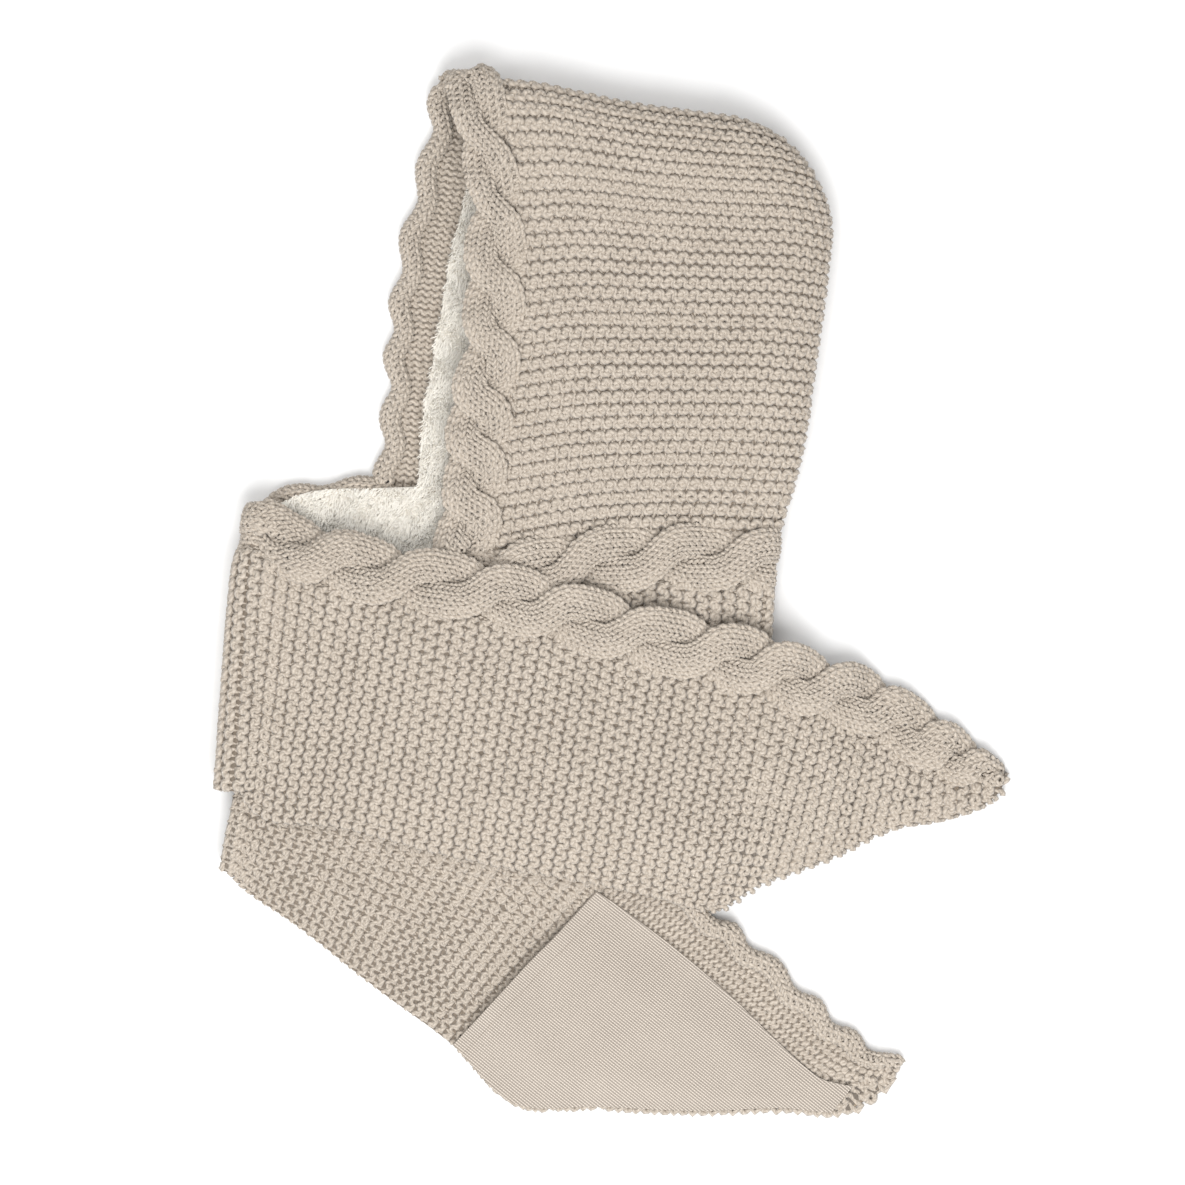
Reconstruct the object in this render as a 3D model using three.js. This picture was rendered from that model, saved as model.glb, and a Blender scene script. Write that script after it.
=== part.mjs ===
// Hooded scarf with hand pockets, lying on its side with both arms folded back.
// Millimetres, +Z up. In plan +X is the nape side and +Y the crown of the hood.
import * as THREE from 'three';

// Driving sizes of the scarf strip
const BAND_WIDTH = 206;
const CABLE_WIDTH = 41;
const NEAR_LEG_LENGTH = 364;
const FAR_LEG_LENGTH = 379;
const NEAR_ARM_LENGTH = 572;
const FAR_ARM_LENGTH = 589;

// Driving sizes of the hood
const HOOD_DEPTH = 243;
const HOOD_HEIGHT = 345;

// Heights of the lying layers, at the middle of their cloth
const HOOD_RISE = 54;
const NECK_RISE = 34;
const LEG_RISE = 20;
const FRONT_DROP = 12;

// Cloth: how far each face stands off the middle surface
const OUTER_HALF = 4.1;
const INNER_HALF = 2.9;
const CABLE_HALF = 4.1;
const FUR_THICKNESS = 6;
const POCKET_THICKNESS = 2;

// Cable relief
const LOBE_LENGTH = 58;
const FACE_LOBE_LENGTH = 53;
const TIP_LOBE_LENGTH = 42;
const LOBE_DEPTH = 9;
const CABLE_ROUNDING = 0.55;
const CROSSING_DEPTH = 0.22;
const CROSSING_LEAN = 0.5;
const WIDEST_TIP_CABLE = 0.55;

// Clearances and pockets
const SEAM_GAP = 0.5;
const CROWN_GAP = 2;
const NAPE_GAP = 2;
const FUR_GAP = 0.6;
const LAYER_ROOM = 2.8;
const POCKET_ROOM = 7;
const POCKET_HEM = 4;
const LINING_INSET = 12;
const LINING_LIP = 7;
const LINING_DROP = 100;
const LINING_FOLD_SHARE = 0.4;
const LEAST_LINING_RISE = 0.2;

// How the cloth rolls over at the crown and nape, and slopes off what lies below
const ROLL_WIDTH = 40;
const DRAPE_HOLD = 16;
const DRAPE_WIDTH = 85;

// Where the pouch changes height, in shares of the hood's height up or down or its depth forward
const HOOD_OPENS = { from: 0, to: 0.4 };
const LEG_SINKS_DOWN = { from: 0.05, to: 0.4 };
const LEG_SINKS_FORWARD = { from: 0.85, to: 1.4 };
const FACE_SINKS = { from: 0.65, to: 1 };
const NAPE_SEAM_OPENS = { from: 0.85, to: 1 };
const FACE_LOBES_START = { from: 0, to: 0.05 };

// Where the cable's lobes shorten, in shares of an arm, and how a pocket's room fades at its edges
const LOBES_SHORTEN = { from: 0.5, to: 0.75 };
const POCKET_SIDE_FADE = { from: 0, to: 0.3 };
const POCKET_MOUTH_FADE = { from: -0.5, to: 0 };

// Worked out from the sizes above
const FLOOR_LEVEL = OUTER_HALF;
const STACK_STEP = 2 * OUTER_HALF + LAYER_ROOM;
const POCKET_SEAT = INNER_HALF + SEAM_GAP + POCKET_THICKNESS / 2;
const FAR_END_LEVEL = POCKET_SEAT + POCKET_THICKNESS / 2;
const LINING_STANDOFF = CABLE_HALF + FUR_GAP + FUR_THICKNESS / 2;
const ON_FUR_LEVEL = FLOOR_LEVEL + CABLE_HALF + FUR_GAP + FUR_THICKNESS + CABLE_HALF + LAYER_ROOM;

// Grid fineness
const STEPS_PER_LOBE = 4;
const HOOD_STEPS = 14;
const LINING_STEPS = 10;
const LEG_LINING_STEPS = 6;
const LINING_DROP_STEPS = 4;
const BAND_COLUMNS = 5;
const CABLE_COLUMNS = 4;
const FAR_ROLL_STEPS = 8;
const NEAR_ROLL_STEPS = 6;
const CURVE_SAMPLES = 240;
const CROWN_SAMPLES = 120;
const OUTLINE_SAMPLES = 40;
const NAPE_ROLL_SHARES = [0, 0.05, 0.14, 0.28, 0.48, 0.72, 1];
const FOLD_SPREAD = 1.5;
const NORMAL_STEP = 0.04;

// The nape fold of the strip, in shares of the band's width
const NAPE_FOLD = { forward: 0.068, drop: 0.995 };

// Stretches of the strip. at is a share of the stretch, the rest are shares of the
// band's width: rise of the cable edge, width along the knitted rows, and the hem's shift
const NEAR_LEG = {
  heading: 187.2,
  side: -1,
  length: NEAR_LEG_LENGTH,
  rows: [
    { at: 0.17, rise: 0.055, width: 1.015, shift: 0.13 },
    { at: 0.35, rise: 0.085, width: 1.04, shift: 0.1 },
    { at: 0.56, rise: 0.07, width: 1.0, shift: 0.125 },
    { at: 0.77, rise: 0.045, width: 1.005, shift: 0.13 },
    { at: 0.91, rise: 0.02, width: 0.99, shift: 0.2 },
    { at: 1.0, rise: 0.0, width: 0.96, shift: 0.33 },
  ],
};
const FAR_LEG = {
  heading: 176.1,
  side: -1,
  length: FAR_LEG_LENGTH,
  rows: [
    { at: 0.27, rise: 0.02, width: 0.985, shift: -0.07 },
    { at: 0.54, rise: 0.06, width: 0.985, shift: -0.07 },
    { at: 0.78, rise: 0.09, width: 1.01, shift: -0.06 },
    { at: 0.91, rise: 0.07, width: 1.045, shift: -0.035 },
    { at: 1.0, rise: 0.0, width: 1.05, shift: 0.005 },
  ],
};
const NEAR_ARM = {
  heading: -37,
  side: 1,
  length: NEAR_ARM_LENGTH,
  rows: [
    { at: 0.07, rise: 0.02, width: 0.955, shift: 0.33 },
    { at: 0.19, rise: 0.025, width: 0.955, shift: 0.225 },
    { at: 0.37, rise: 0.017, width: 0.96, shift: 0.093 },
    { at: 0.55, rise: 0.014, width: 0.955, shift: -0.09 },
    { at: 0.685, rise: 0.007, width: 0.985, shift: -0.155 },
    { at: 0.79, rise: -0.01, width: 0.79, shift: -0.19 },
    { at: 0.88, rise: -0.038, width: 0.555, shift: -0.14 },
    { at: 0.943, rise: -0.047, width: 0.365, shift: -0.093 },
    { at: 0.98, rise: -0.03, width: 0.24, shift: 0.01 },
    { at: 1.0, rise: -0.006, width: 0.085, shift: 0.01 },
  ],
};
const FAR_ARM = {
  heading: -20.4,
  side: 1,
  length: FAR_ARM_LENGTH,
  rows: [
    { at: 0.05, rise: -0.03, width: 1.04, shift: 0.25 },
    { at: 0.17, rise: -0.005, width: 1.0, shift: 0.18 },
    { at: 0.28, rise: 0.055, width: 1.03, shift: 0.19 },
    { at: 0.385, rise: 0.087, width: 1.02, shift: 0.19 },
    { at: 0.49, rise: 0.11, width: 0.99, shift: 0.177 },
    { at: 0.58, rise: 0.14, width: 0.985, shift: 0.175 },
    { at: 0.66, rise: 0.165, width: 0.99, shift: 0.135 },
    { at: 0.723, rise: 0.158, width: 0.83, shift: 0.08 },
    { at: 0.79, rise: 0.166, width: 0.663, shift: 0.094 },
    { at: 0.855, rise: 0.132, width: 0.46, shift: 0.075 },
    { at: 0.906, rise: 0.092, width: 0.33, shift: 0.084 },
    { at: 0.96, rise: 0.045, width: 0.18, shift: 0.06 },
    { at: 0.995, rise: 0.01, width: 0.07, shift: 0.007 },
  ],
};

// Where the pockets begin and end, in shares of an arm
const POCKET_REACH = { nearMouth: 0.55, farMouth: 0.48, end: 0.96 };

// Crown and back of the hood, from the face to the nape, in shares of its depth and height
const CROWN = [
  { forward: 1.01, up: 0.993 },
  { forward: 0.963, up: 1.0 },
  { forward: 0.84, up: 0.976 },
  { forward: 0.72, up: 0.964 },
  { forward: 0.476, up: 0.925 },
  { forward: 0.23, up: 0.9 },
  { forward: 0.11, up: 0.886 },
  { forward: -0.012, up: 0.843 },
  { forward: -0.073, up: 0.8 },
  { forward: -0.119, up: 0.75 },
  { forward: -0.158, up: 0.665 },
  { forward: -0.155, up: 0.61 },
  { forward: -0.134, up: 0.483 },
  { forward: -0.11, up: 0.365 },
  { forward: -0.067, up: 0.16 },
  { forward: 0.0, up: 0.0 },
];
const CROWN_SEAM_POINT = 2;
const CROWN_CORNER_POINT = 8;

// Face opening from the neck to the crown: how far forward each edge lies, in hood depths
const NEAR_FACE = [
  { share: 0.0, rim: 1.03, seam: 0.86, fur: 0.93 },
  { share: 0.16, rim: 0.99, seam: 0.835, fur: 0.9 },
  { share: 0.32, rim: 0.985, seam: 0.8, fur: 0.88 },
  { share: 0.43, rim: 0.93, seam: 0.785, fur: 0.85 },
  { share: 0.6, rim: 0.93, seam: 0.765, fur: 0.84 },
  { share: 0.74, rim: 0.91, seam: 0.78, fur: 0.84 },
  { share: 0.87, rim: 0.955, seam: 0.81, fur: 0.84 },
  { share: 0.955, rim: 0.98, seam: 0.835, fur: 0.82 },
];
const FAR_FACE = [
  { share: 0.0, rim: 1.215, seam: 1.05, fur: 1.09 },
  { share: 0.11, rim: 1.198, seam: 1.03, fur: 1.083 },
  { share: 0.24, rim: 1.18, seam: 1.015, fur: 1.065 },
  { share: 0.33, rim: 1.18, seam: 1.01, fur: 1.043 },
  { share: 0.475, rim: 1.158, seam: 0.99, fur: 1.015 },
  { share: 0.61, rim: 1.128, seam: 0.96, fur: 0.985 },
  { share: 0.715, rim: 1.095, seam: 0.93, fur: 0.957 },
  { share: 0.86, rim: 1.055, seam: 0.89, fur: 0.9 },
  { share: 0.955, rim: 1.04, seam: 0.85, fur: 0.84 },
];

const WOOL = new THREE.MeshStandardMaterial({ color: 0xcac0b2, roughness: 0.95, metalness: 0 });
const CABLE_WOOL = new THREE.MeshStandardMaterial({ color: 0xcdc3b4, roughness: 0.95, metalness: 0 });
const FUR = new THREE.MeshStandardMaterial({ color: 0xf2eada, roughness: 1, metalness: 0 });
const FINE_WOOL = new THREE.MeshStandardMaterial({ color: 0xcdc0b0, roughness: 0.9, metalness: 0 });

function mix(low, high, share) {
  return low + (high - low) * share;
}

function smoothStep(range, value) {
  return THREE.MathUtils.smoothstep(value, range.from, range.to);
}

// Quarter ellipse: 0 at the fold, 1 where the cloth lies flat
function rollShare(distance, width) {
  const rest = 1 - Math.min(distance / width, 1);
  return Math.sqrt(1 - rest * rest);
}

function plan(forward, up) {
  return new THREE.Vector2(-forward * HOOD_DEPTH, up * HOOD_HEIGHT);
}

function mixPoints(from, to, share) {
  return new THREE.Vector2(mix(from.x, to.x, share), mix(from.y, to.y, share));
}

function curveThrough(points) {
  const knots = points.map((point) => new THREE.Vector3(point.x, point.y, 0));
  const curve = new THREE.CatmullRomCurve3(knots, false, 'centripetal');
  return (share) => {
    const point = curve.getPoint(THREE.MathUtils.clamp(share, 0, 1));
    return new THREE.Vector2(point.x, point.y);
  };
}

function sampled(curve, from, to, count) {
  return Array.from({ length: count + 1 }, (_, step) => curve(mix(from, to, step / count)));
}

// Reads a column of a table of rows by linear steps between the rows
function readColumn(rows, key, column, value) {
  const next = rows.findIndex((row) => row[key] >= value);
  if (next === 0) {
    return rows[0][column];
  }
  if (next < 0) {
    return rows[rows.length - 1][column];
  }
  const before = rows[next - 1];
  const after = rows[next];
  return mix(before[column], after[column], (value - before[key]) / (after[key] - before[key]));
}

function segmentDistance(point, from, to) {
  const run = to.clone().sub(from);
  const share = point.clone().sub(from).dot(run) / Math.max(run.lengthSq(), 1e-9);
  const foot = from.clone().addScaledVector(run, THREE.MathUtils.clamp(share, 0, 1));
  return point.distanceTo(foot);
}

function lineDistance(point, line) {
  let nearest = Infinity;
  for (let index = 1; index < line.length; index += 1) {
    nearest = Math.min(nearest, segmentDistance(point, line[index - 1], line[index]));
  }
  return nearest;
}

function isInside(point, outline) {
  let inside = false;
  outline.forEach((corner, index) => {
    const other = outline[(index + outline.length - 1) % outline.length];
    const crosses = corner.y > point.y !== other.y > point.y;
    const climbed = (point.y - corner.y) / (other.y - corner.y);
    if (crosses && point.x < mix(corner.x, other.x, climbed)) {
      inside = !inside;
    }
  });
  return inside;
}

// 1 over a lower layer and just past its edge, falling to 0 where the cloth above reaches the floor
function coverage(point, outline) {
  if (isInside(point, outline)) {
    return 1;
  }
  const distance = lineDistance(point, [...outline, outline[0]]);
  return 1 - smoothStep({ from: DRAPE_HOLD, to: DRAPE_HOLD + DRAPE_WIDTH }, distance);
}

// Plan lines of one stretch, from its first fold line through the rows of its table
function layStretch(stretch, start, firstLine) {
  const angle = THREE.MathUtils.degToRad(stretch.heading);
  const along = new THREE.Vector2(Math.cos(angle), Math.sin(angle));
  const upward = new THREE.Vector2(-along.y, along.x).multiplyScalar(stretch.side);
  const lines = stretch.rows.map((row) => {
    const edge = start.clone().addScaledVector(along, row.at * stretch.length);
    edge.addScaledVector(upward, row.rise * BAND_WIDTH);
    const hem = edge.clone().addScaledVector(upward, -row.width * BAND_WIDTH);
    hem.addScaledVector(along, row.shift * BAND_WIDTH);
    return { edge, hem };
  });
  lines.unshift(firstLine);
  const edgeCurve = curveThrough(lines.map((line) => line.edge));
  const hemCurve = curveThrough(lines.map((line) => line.hem));
  const reach = [0];
  let before = edgeCurve(0);
  for (let step = 1; step <= CURVE_SAMPLES; step += 1) {
    const point = edgeCurve(step / CURVE_SAMPLES);
    reach.push(reach[step - 1] + point.distanceTo(before));
    before = point;
  }
  const lineAt = (distance) => {
    const found = reach.findIndex((value) => value >= distance);
    const next = found < 0 ? CURVE_SAMPLES : Math.max(found, 1);
    const share = (distance - reach[next - 1]) / (reach[next] - reach[next - 1]);
    const spot = (next - 1 + THREE.MathUtils.clamp(share, 0, 1)) / CURVE_SAMPLES;
    return { edge: edgeCurve(spot), hem: hemCurve(spot) };
  };
  const outline = [
    ...sampled(edgeCurve, 0, 1, OUTLINE_SAMPLES),
    ...sampled(hemCurve, 1, 0, OUTLINE_SAMPLES),
  ];
  return { lineAt, outline, length: reach[CURVE_SAMPLES], lastLine: lines[lines.length - 1] };
}

const nape = new THREE.Vector2(0, 0);
const napeLine = {
  edge: nape,
  hem: new THREE.Vector2(-NAPE_FOLD.forward * BAND_WIDTH, -NAPE_FOLD.drop * BAND_WIDTH),
};
const nearLeg = layStretch(NEAR_LEG, nape, napeLine);
const farLeg = layStretch(FAR_LEG, nape, napeLine);
const nearArm = layStretch(NEAR_ARM, nearLeg.lastLine.edge, nearLeg.lastLine);
const farArm = layStretch(FAR_ARM, farLeg.lastLine.edge, farLeg.lastLine);

const crownCurve = curveThrough(CROWN.map((row) => plan(row.forward, row.up)));
const crownSeam = CROWN_SEAM_POINT / (CROWN.length - 1);
const crownCorner = CROWN_CORNER_POINT / (CROWN.length - 1);
const crownGapShare = (crownSeam * CROWN_GAP) / crownCurve(0).distanceTo(crownCurve(crownSeam));
const crownLine = sampled(crownCurve, 0, 1, CROWN_SAMPLES);
const foldLine = [...crownLine, napeLine.hem];
const farHoodOutline = [
  ...crownLine,
  ...FAR_FACE.map((row) => plan(row.rim, row.share)),
];

// Height of the cloth where the pouch lies fully open, from its place in plan
function openRise(point) {
  const forward = -point.x / HOOD_DEPTH;
  const up = point.y / HOOD_HEIGHT;
  const hoodShare = smoothStep(HOOD_OPENS, up);
  const legShare = Math.max(smoothStep(LEG_SINKS_FORWARD, forward), smoothStep(LEG_SINKS_DOWN, -up));
  const neckLevel = mix(NECK_RISE, LEG_RISE, legShare * (1 - hoodShare));
  const drop = FRONT_DROP * smoothStep(FACE_SINKS, forward) * hoodShare;
  return mix(neckLevel, HOOD_RISE, hoodShare) - drop;
}

function nearFlat(point) {
  const cover = Math.max(coverage(point, farLeg.outline), coverage(point, farHoodOutline));
  return mix(FLOOR_LEVEL, openRise(point), cover);
}

function nearLevel(point, onFold) {
  const roll = onFold ? 0 : rollShare(lineDistance(point, foldLine), ROLL_WIDTH);
  return mix(FLOOR_LEVEL, nearFlat(point), 0.5 + 0.5 * roll);
}

function farLevel(point, onFold) {
  const roll = onFold ? 0 : rollShare(lineDistance(point, foldLine), ROLL_WIDTH);
  return mix(FLOOR_LEVEL, nearFlat(point), 0.5 - 0.5 * roll);
}

function nearArmLevel(point) {
  return mix(FLOOR_LEVEL, nearFlat(point) + STACK_STEP, coverage(point, nearLeg.outline));
}

function farArmLevel(point) {
  const onFur = mix(FAR_END_LEVEL, ON_FUR_LEVEL, coverage(point, farLeg.outline));
  const onLeg = mix(onFur, nearFlat(point) + STACK_STEP, coverage(point, nearLeg.outline));
  return mix(onLeg, nearArmLevel(point) + STACK_STEP, coverage(point, nearArm.outline));
}

// 1 in the middle of a pocket's mouth, 0 along its sewn edges
function pocketShare(at, mouthAt, across) {
  const depth = (at - mouthAt) / (POCKET_REACH.end - mouthAt);
  if (depth > 1) {
    return 0;
  }
  const fade = depth < 0 ? smoothStep(POCKET_MOUTH_FADE, depth) : 1 - depth * depth;
  return fade * smoothStep(POCKET_SIDE_FADE, across) * smoothStep(POCKET_SIDE_FADE, 1 - across);
}

// One station of the strip: point(across) runs from the cable edge, 0, to the hem, 1
function flatStation(line, at, phase, level, room) {
  const width = line.edge.distanceTo(line.hem);
  const cableShare = Math.min(CABLE_WIDTH / width, WIDEST_TIP_CABLE);
  const point = (across) => {
    const spot = mixPoints(line.edge, line.hem, across);
    const inBand = THREE.MathUtils.clamp((across - cableShare) / (1 - cableShare), 0, 1);
    return new THREE.Vector3(spot.x, spot.y, level(spot) + room(at, inBand));
  };
  const outward = line.edge.clone().sub(line.hem).normalize();
  return { point, phase, at, width, cableShare, outward, edge: line.edge };
}

// Stations round the end fold of a leg, from the lower layer up to the arm that lies on it
function rollStations(line, lowLevel, highLevel, steps, phase) {
  const outward = line.edge.clone().sub(line.hem).normalize();
  const sideways = new THREE.Vector2(-outward.y, outward.x);
  const width = line.edge.distanceTo(line.hem);
  return Array.from({ length: steps - 1 }, (_, index) => {
    const turn = (Math.PI * (index + 1)) / steps;
    const point = (across) => {
      const spot = mixPoints(line.edge, line.hem, across);
      const low = lowLevel(spot);
      const radius = (highLevel(spot) - low) / 2;
      spot.addScaledVector(sideways, radius * Math.sin(turn));
      return new THREE.Vector3(spot.x, spot.y, low + radius * (1 - Math.cos(turn)));
    };
    return { point, phase, at: 0, width, cableShare: CABLE_WIDTH / width, outward };
  });
}

const NO_ROOM = () => 0;

// Stations of a leg, closer together at the nape. Its cable edge is sewn as far as the face rim
function legStations(stretch, level, faceTable) {
  const sewnReach = faceTable[0].rim * HOOD_DEPTH + LOBE_LENGTH / 2;
  const rest = stretch.length - ROLL_WIDTH;
  const count = Math.round((rest / LOBE_LENGTH) * STEPS_PER_LOBE);
  const reaches = NAPE_ROLL_SHARES.map((share) => share * ROLL_WIDTH);
  for (let index = 1; index <= count; index += 1) {
    reaches.push(ROLL_WIDTH + (rest * index) / count);
  }
  return reaches.map((reach) => {
    const levelHere = (spot) => level(spot, reach === 0);
    const line = stretch.lineAt(reach);
    const at = reach / stretch.length;
    const station = flatStation(line, at, reach / LOBE_LENGTH, levelHere, NO_ROOM);
    return { ...station, isSewn: reach < sewnReach };
  });
}

// Stations of an arm, whose cable has shorter lobes toward the tip
function armStations(stretch, level, room, firstPhase) {
  const count = Math.round((stretch.length / LOBE_LENGTH) * STEPS_PER_LOBE);
  const step = stretch.length / count;
  const stations = [];
  let phase = firstPhase;
  for (let index = 0; index <= count; index += 1) {
    const at = index / count;
    stations.push(flatStation(stretch.lineAt(index * step), at, phase, level, room));
    phase += step / mix(LOBE_LENGTH, TIP_LOBE_LENGTH, smoothStep(LOBES_SHORTEN, at));
  }
  return stations;
}

const nearLegStations = legStations(nearLeg, nearLevel, NEAR_FACE);
const farLegStations = legStations(farLeg, farLevel, FAR_FACE);
const nearFoldPhase = nearLeg.length / LOBE_LENGTH;
const farFoldPhase = farLeg.length / LOBE_LENGTH;
const farRoom = (at, across) => POCKET_ROOM * pocketShare(at, POCKET_REACH.farMouth, across);
const nearArmStations = armStations(nearArm, nearArmLevel, NO_ROOM, nearFoldPhase);
const farArmStations = armStations(farArm, farArmLevel, farRoom, farFoldPhase);
const nearFold = nearLeg.lastLine;
const farFold = farLeg.lastLine;
const nearRoll = rollStations(nearFold, nearLevel, nearArmLevel, NEAR_ROLL_STEPS, nearFoldPhase);
const farRoll = rollStations(farFold, farLevel, farArmLevel, FAR_ROLL_STEPS, farFoldPhase);

// The whole strip, from the tip of the near arm round the back of the neck to the other tip
const strip = [
  ...[...nearArmStations].reverse(),
  ...[...nearRoll].reverse(),
  ...[...nearLegStations].reverse(),
  ...farLegStations.slice(1),
  ...farRoll,
  ...farArmStations,
];

// A middle surface of welded grid cells, given thickness as one closed body
class Cloth {
  constructor() {
    this.points = [];
    this.halves = [];
    this.given = [];
    this.faces = [];
    this.spots = new Map();
  }

  corner({ point, outer, inner, normal }) {
    const key = [point.x, point.y, point.z].map((value) => Math.round(value * 100)).join(' ');
    if (!this.spots.has(key)) {
      this.spots.set(key, this.points.length);
      this.points.push(point);
      this.halves.push({ outer, inner });
      this.given.push(normal);
    }
    return this.spots.get(key);
  }

  // place(row, column) gives { point, outer, inner } and may give the normal; flipped grids
  // face the other way
  addGrid(rows, columns, place, flipped = false) {
    const grid = [];
    for (let row = 0; row <= rows; row += 1) {
      grid.push([]);
      for (let column = 0; column <= columns; column += 1) {
        grid[row].push(this.corner(place(row, column)));
      }
    }
    for (let row = 0; row < rows; row += 1) {
      for (let column = 0; column < columns; column += 1) {
        const a = grid[row][column];
        const b = grid[row][column + 1];
        const c = grid[row + 1][column + 1];
        const d = grid[row + 1][column];
        this.addFace(a, flipped ? c : b, flipped ? b : c);
        this.addFace(a, flipped ? d : c, flipped ? c : d);
      }
    }
  }

  addFace(a, b, c) {
    if (a !== b && b !== c && c !== a) {
      this.faces.push([a, b, c]);
    }
  }

  normals() {
    const sums = this.points.map(() => new THREE.Vector3());
    this.faces.forEach(([a, b, c]) => {
      const one = this.points[b].clone().sub(this.points[a]);
      const other = this.points[c].clone().sub(this.points[a]);
      const cross = one.cross(other);
      [a, b, c].forEach((index) => sums[index].add(cross));
    });
    return sums.map((sum, index) => this.given[index] ?? sum.normalize());
  }

  body() {
    const normals = this.normals();
    const count = this.points.length;
    const vertices = [];
    this.points.forEach((point, index) => {
      const vertex = point.clone().addScaledVector(normals[index], this.halves[index].outer);
      vertices.push(vertex.x, vertex.y, vertex.z);
    });
    this.points.forEach((point, index) => {
      const vertex = point.clone().addScaledVector(normals[index], -this.halves[index].inner);
      vertices.push(vertex.x, vertex.y, vertex.z);
    });
    const triangles = [];
    const edges = new Set();
    this.faces.forEach(([a, b, c]) => {
      triangles.push(a, b, c, count + a, count + c, count + b);
      edges.add(`${a} ${b}`).add(`${b} ${c}`).add(`${c} ${a}`);
    });
    edges.forEach((edge) => {
      const [from, to] = edge.split(' ').map(Number);
      if (!edges.has(`${to} ${from}`)) {
        triangles.push(to, from, count + from, to, count + from, count + to);
      }
    });
    const geometry = new THREE.BufferGeometry();
    geometry.setAttribute('position', new THREE.Float32BufferAttribute(vertices, 3));
    geometry.setIndex(triangles);
    return geometry;
  }
}

function lobe(phase) {
  return 0.5 - 0.5 * Math.cos(2 * Math.PI * phase);
}

// Half thickness of a cable: rounded across, with crossings that run slantwise
function cableHalf(phase, across) {
  const round = Math.sqrt(1 - CABLE_ROUNDING * (2 * across - 1) ** 2);
  const crossing = lobe(phase - CROSSING_LEAN * across);
  return CABLE_HALF * round * mix(1 - CROSSING_DEPTH, 1, crossing);
}

// The strip's normal on its outer side, the same for the band and its cable along their seam
function stripNormal(stations, row, across) {
  const ahead = stations[Math.min(row + 1, stations.length - 1)].point(across);
  const behind = stations[Math.max(row - 1, 0)].point(across);
  const below = stations[row].point(Math.min(across + NORMAL_STEP, 1));
  const above = stations[row].point(Math.max(across - NORMAL_STEP, 0));
  return below.sub(above).cross(ahead.sub(behind)).normalize();
}

function bandAcross(station, column) {
  return mix(station.cableShare + SEAM_GAP / station.width, 1, column / BAND_COLUMNS);
}

function bandBody() {
  const cloth = new Cloth();
  cloth.addGrid(strip.length - 1, BAND_COLUMNS, (row, column) => {
    const station = strip[row];
    const across = bandAcross(station, column);
    const normal = stripNormal(strip, row, column === 0 ? station.cableShare : across);
    return { point: station.point(across), outer: OUTER_HALF, inner: INNER_HALF, normal };
  });
  return cloth.body();
}

function cableBody() {
  const cloth = new Cloth();
  cloth.addGrid(strip.length - 1, CABLE_COLUMNS, (row, column) => {
    const station = strip[row];
    const across = column / CABLE_COLUMNS;
    const point = station.point(station.cableShare * across);
    const swing = station.isSewn ? 0 : LOBE_DEPTH * (lobe(station.phase) - 0.5) * (1 - across);
    const half = cableHalf(station.phase, across);
    const normal = stripNormal(strip, row, station.cableShare * across);
    point.x += station.outward.x * swing;
    point.y += station.outward.y * swing;
    return { point, outer: half, inner: half, normal };
  });
  return cloth.body();
}

// The cable edge of a leg as a height over plan X, which the hood's neck edge follows
function neckHeight(stations, x) {
  const found = stations.findIndex((station) => station.edge.x <= x);
  const next = Math.max(found, 1);
  const from = stations[next - 1].edge;
  const to = stations[next].edge;
  return mix(from.y, to.y, (x - from.x) / (to.x - from.x)) + SEAM_GAP;
}

// One edge of the face opening from the neck, 0, to the crown, 1
function faceEdge(table, column, shift, stations, top, share) {
  const last = table[table.length - 1];
  const bottomX = -table[0][column] * HOOD_DEPTH + shift;
  const x = share <= last.share
    ? -readColumn(table, 'share', column, share) * HOOD_DEPTH + shift
    : mix(-last[column] * HOOD_DEPTH + shift, top.x, (share - last.share) / (1 - last.share));
  return new THREE.Vector2(x, mix(neckHeight(stations, bottomX), top.y, share));
}

// A patch filled between four curves: bottom and top over a, front and back over b
function fillPatch(curves, a, b) {
  const rising = mixPoints(curves.bottom(a), curves.top(a), b);
  const along = mixPoints(curves.front(b), curves.back(b), a);
  const low = mixPoints(curves.bottom(0), curves.bottom(1), a);
  const high = mixPoints(curves.top(0), curves.top(1), a);
  return rising.add(along).sub(mixPoints(low, high, b));
}

// Sets grid lines closer together toward the fold
function spreadToFold(share) {
  return 1 - (1 - share) ** FOLD_SPREAD;
}

function hoodCurves(table, stations) {
  const topStart = crownSeam + crownGapShare / 2;
  const top = crownCurve(topStart);
  const front = (b) => faceEdge(table, 'seam', SEAM_GAP / 2, stations, top, b);
  const bottomX = front(0).x;
  return {
    front,
    back: (b) => crownCurve(mix(1, crownCorner, b)).add(new THREE.Vector2(0, NAPE_GAP * (1 - b))),
    bottom: (a) => {
      const x = mix(bottomX, 0, a);
      const rise = (NAPE_GAP - SEAM_GAP) * smoothStep(NAPE_SEAM_OPENS, a);
      return new THREE.Vector2(x, neckHeight(stations, x) + rise);
    },
    top: (a) => crownCurve(mix(topStart, crownCorner, a)),
  };
}

function hoodBody() {
  const cloth = new Cloth();
  const sides = [
    { curves: hoodCurves(NEAR_FACE, nearLegStations), level: nearLevel, flipped: false },
    { curves: hoodCurves(FAR_FACE, farLegStations), level: farLevel, flipped: true },
  ];
  sides.forEach((side) => {
    cloth.addGrid(HOOD_STEPS, HOOD_STEPS, (row, column) => {
      const a = spreadToFold(column / HOOD_STEPS);
      const b = spreadToFold(row / HOOD_STEPS);
      const spot = fillPatch(side.curves, a, b);
      const onFold = row === HOOD_STEPS || column === HOOD_STEPS;
      const point = new THREE.Vector3(spot.x, spot.y, side.level(spot, onFold));
      return { point, outer: OUTER_HALF, inner: INNER_HALF };
    }, side.flipped);
  });
  return cloth.body();
}

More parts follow.
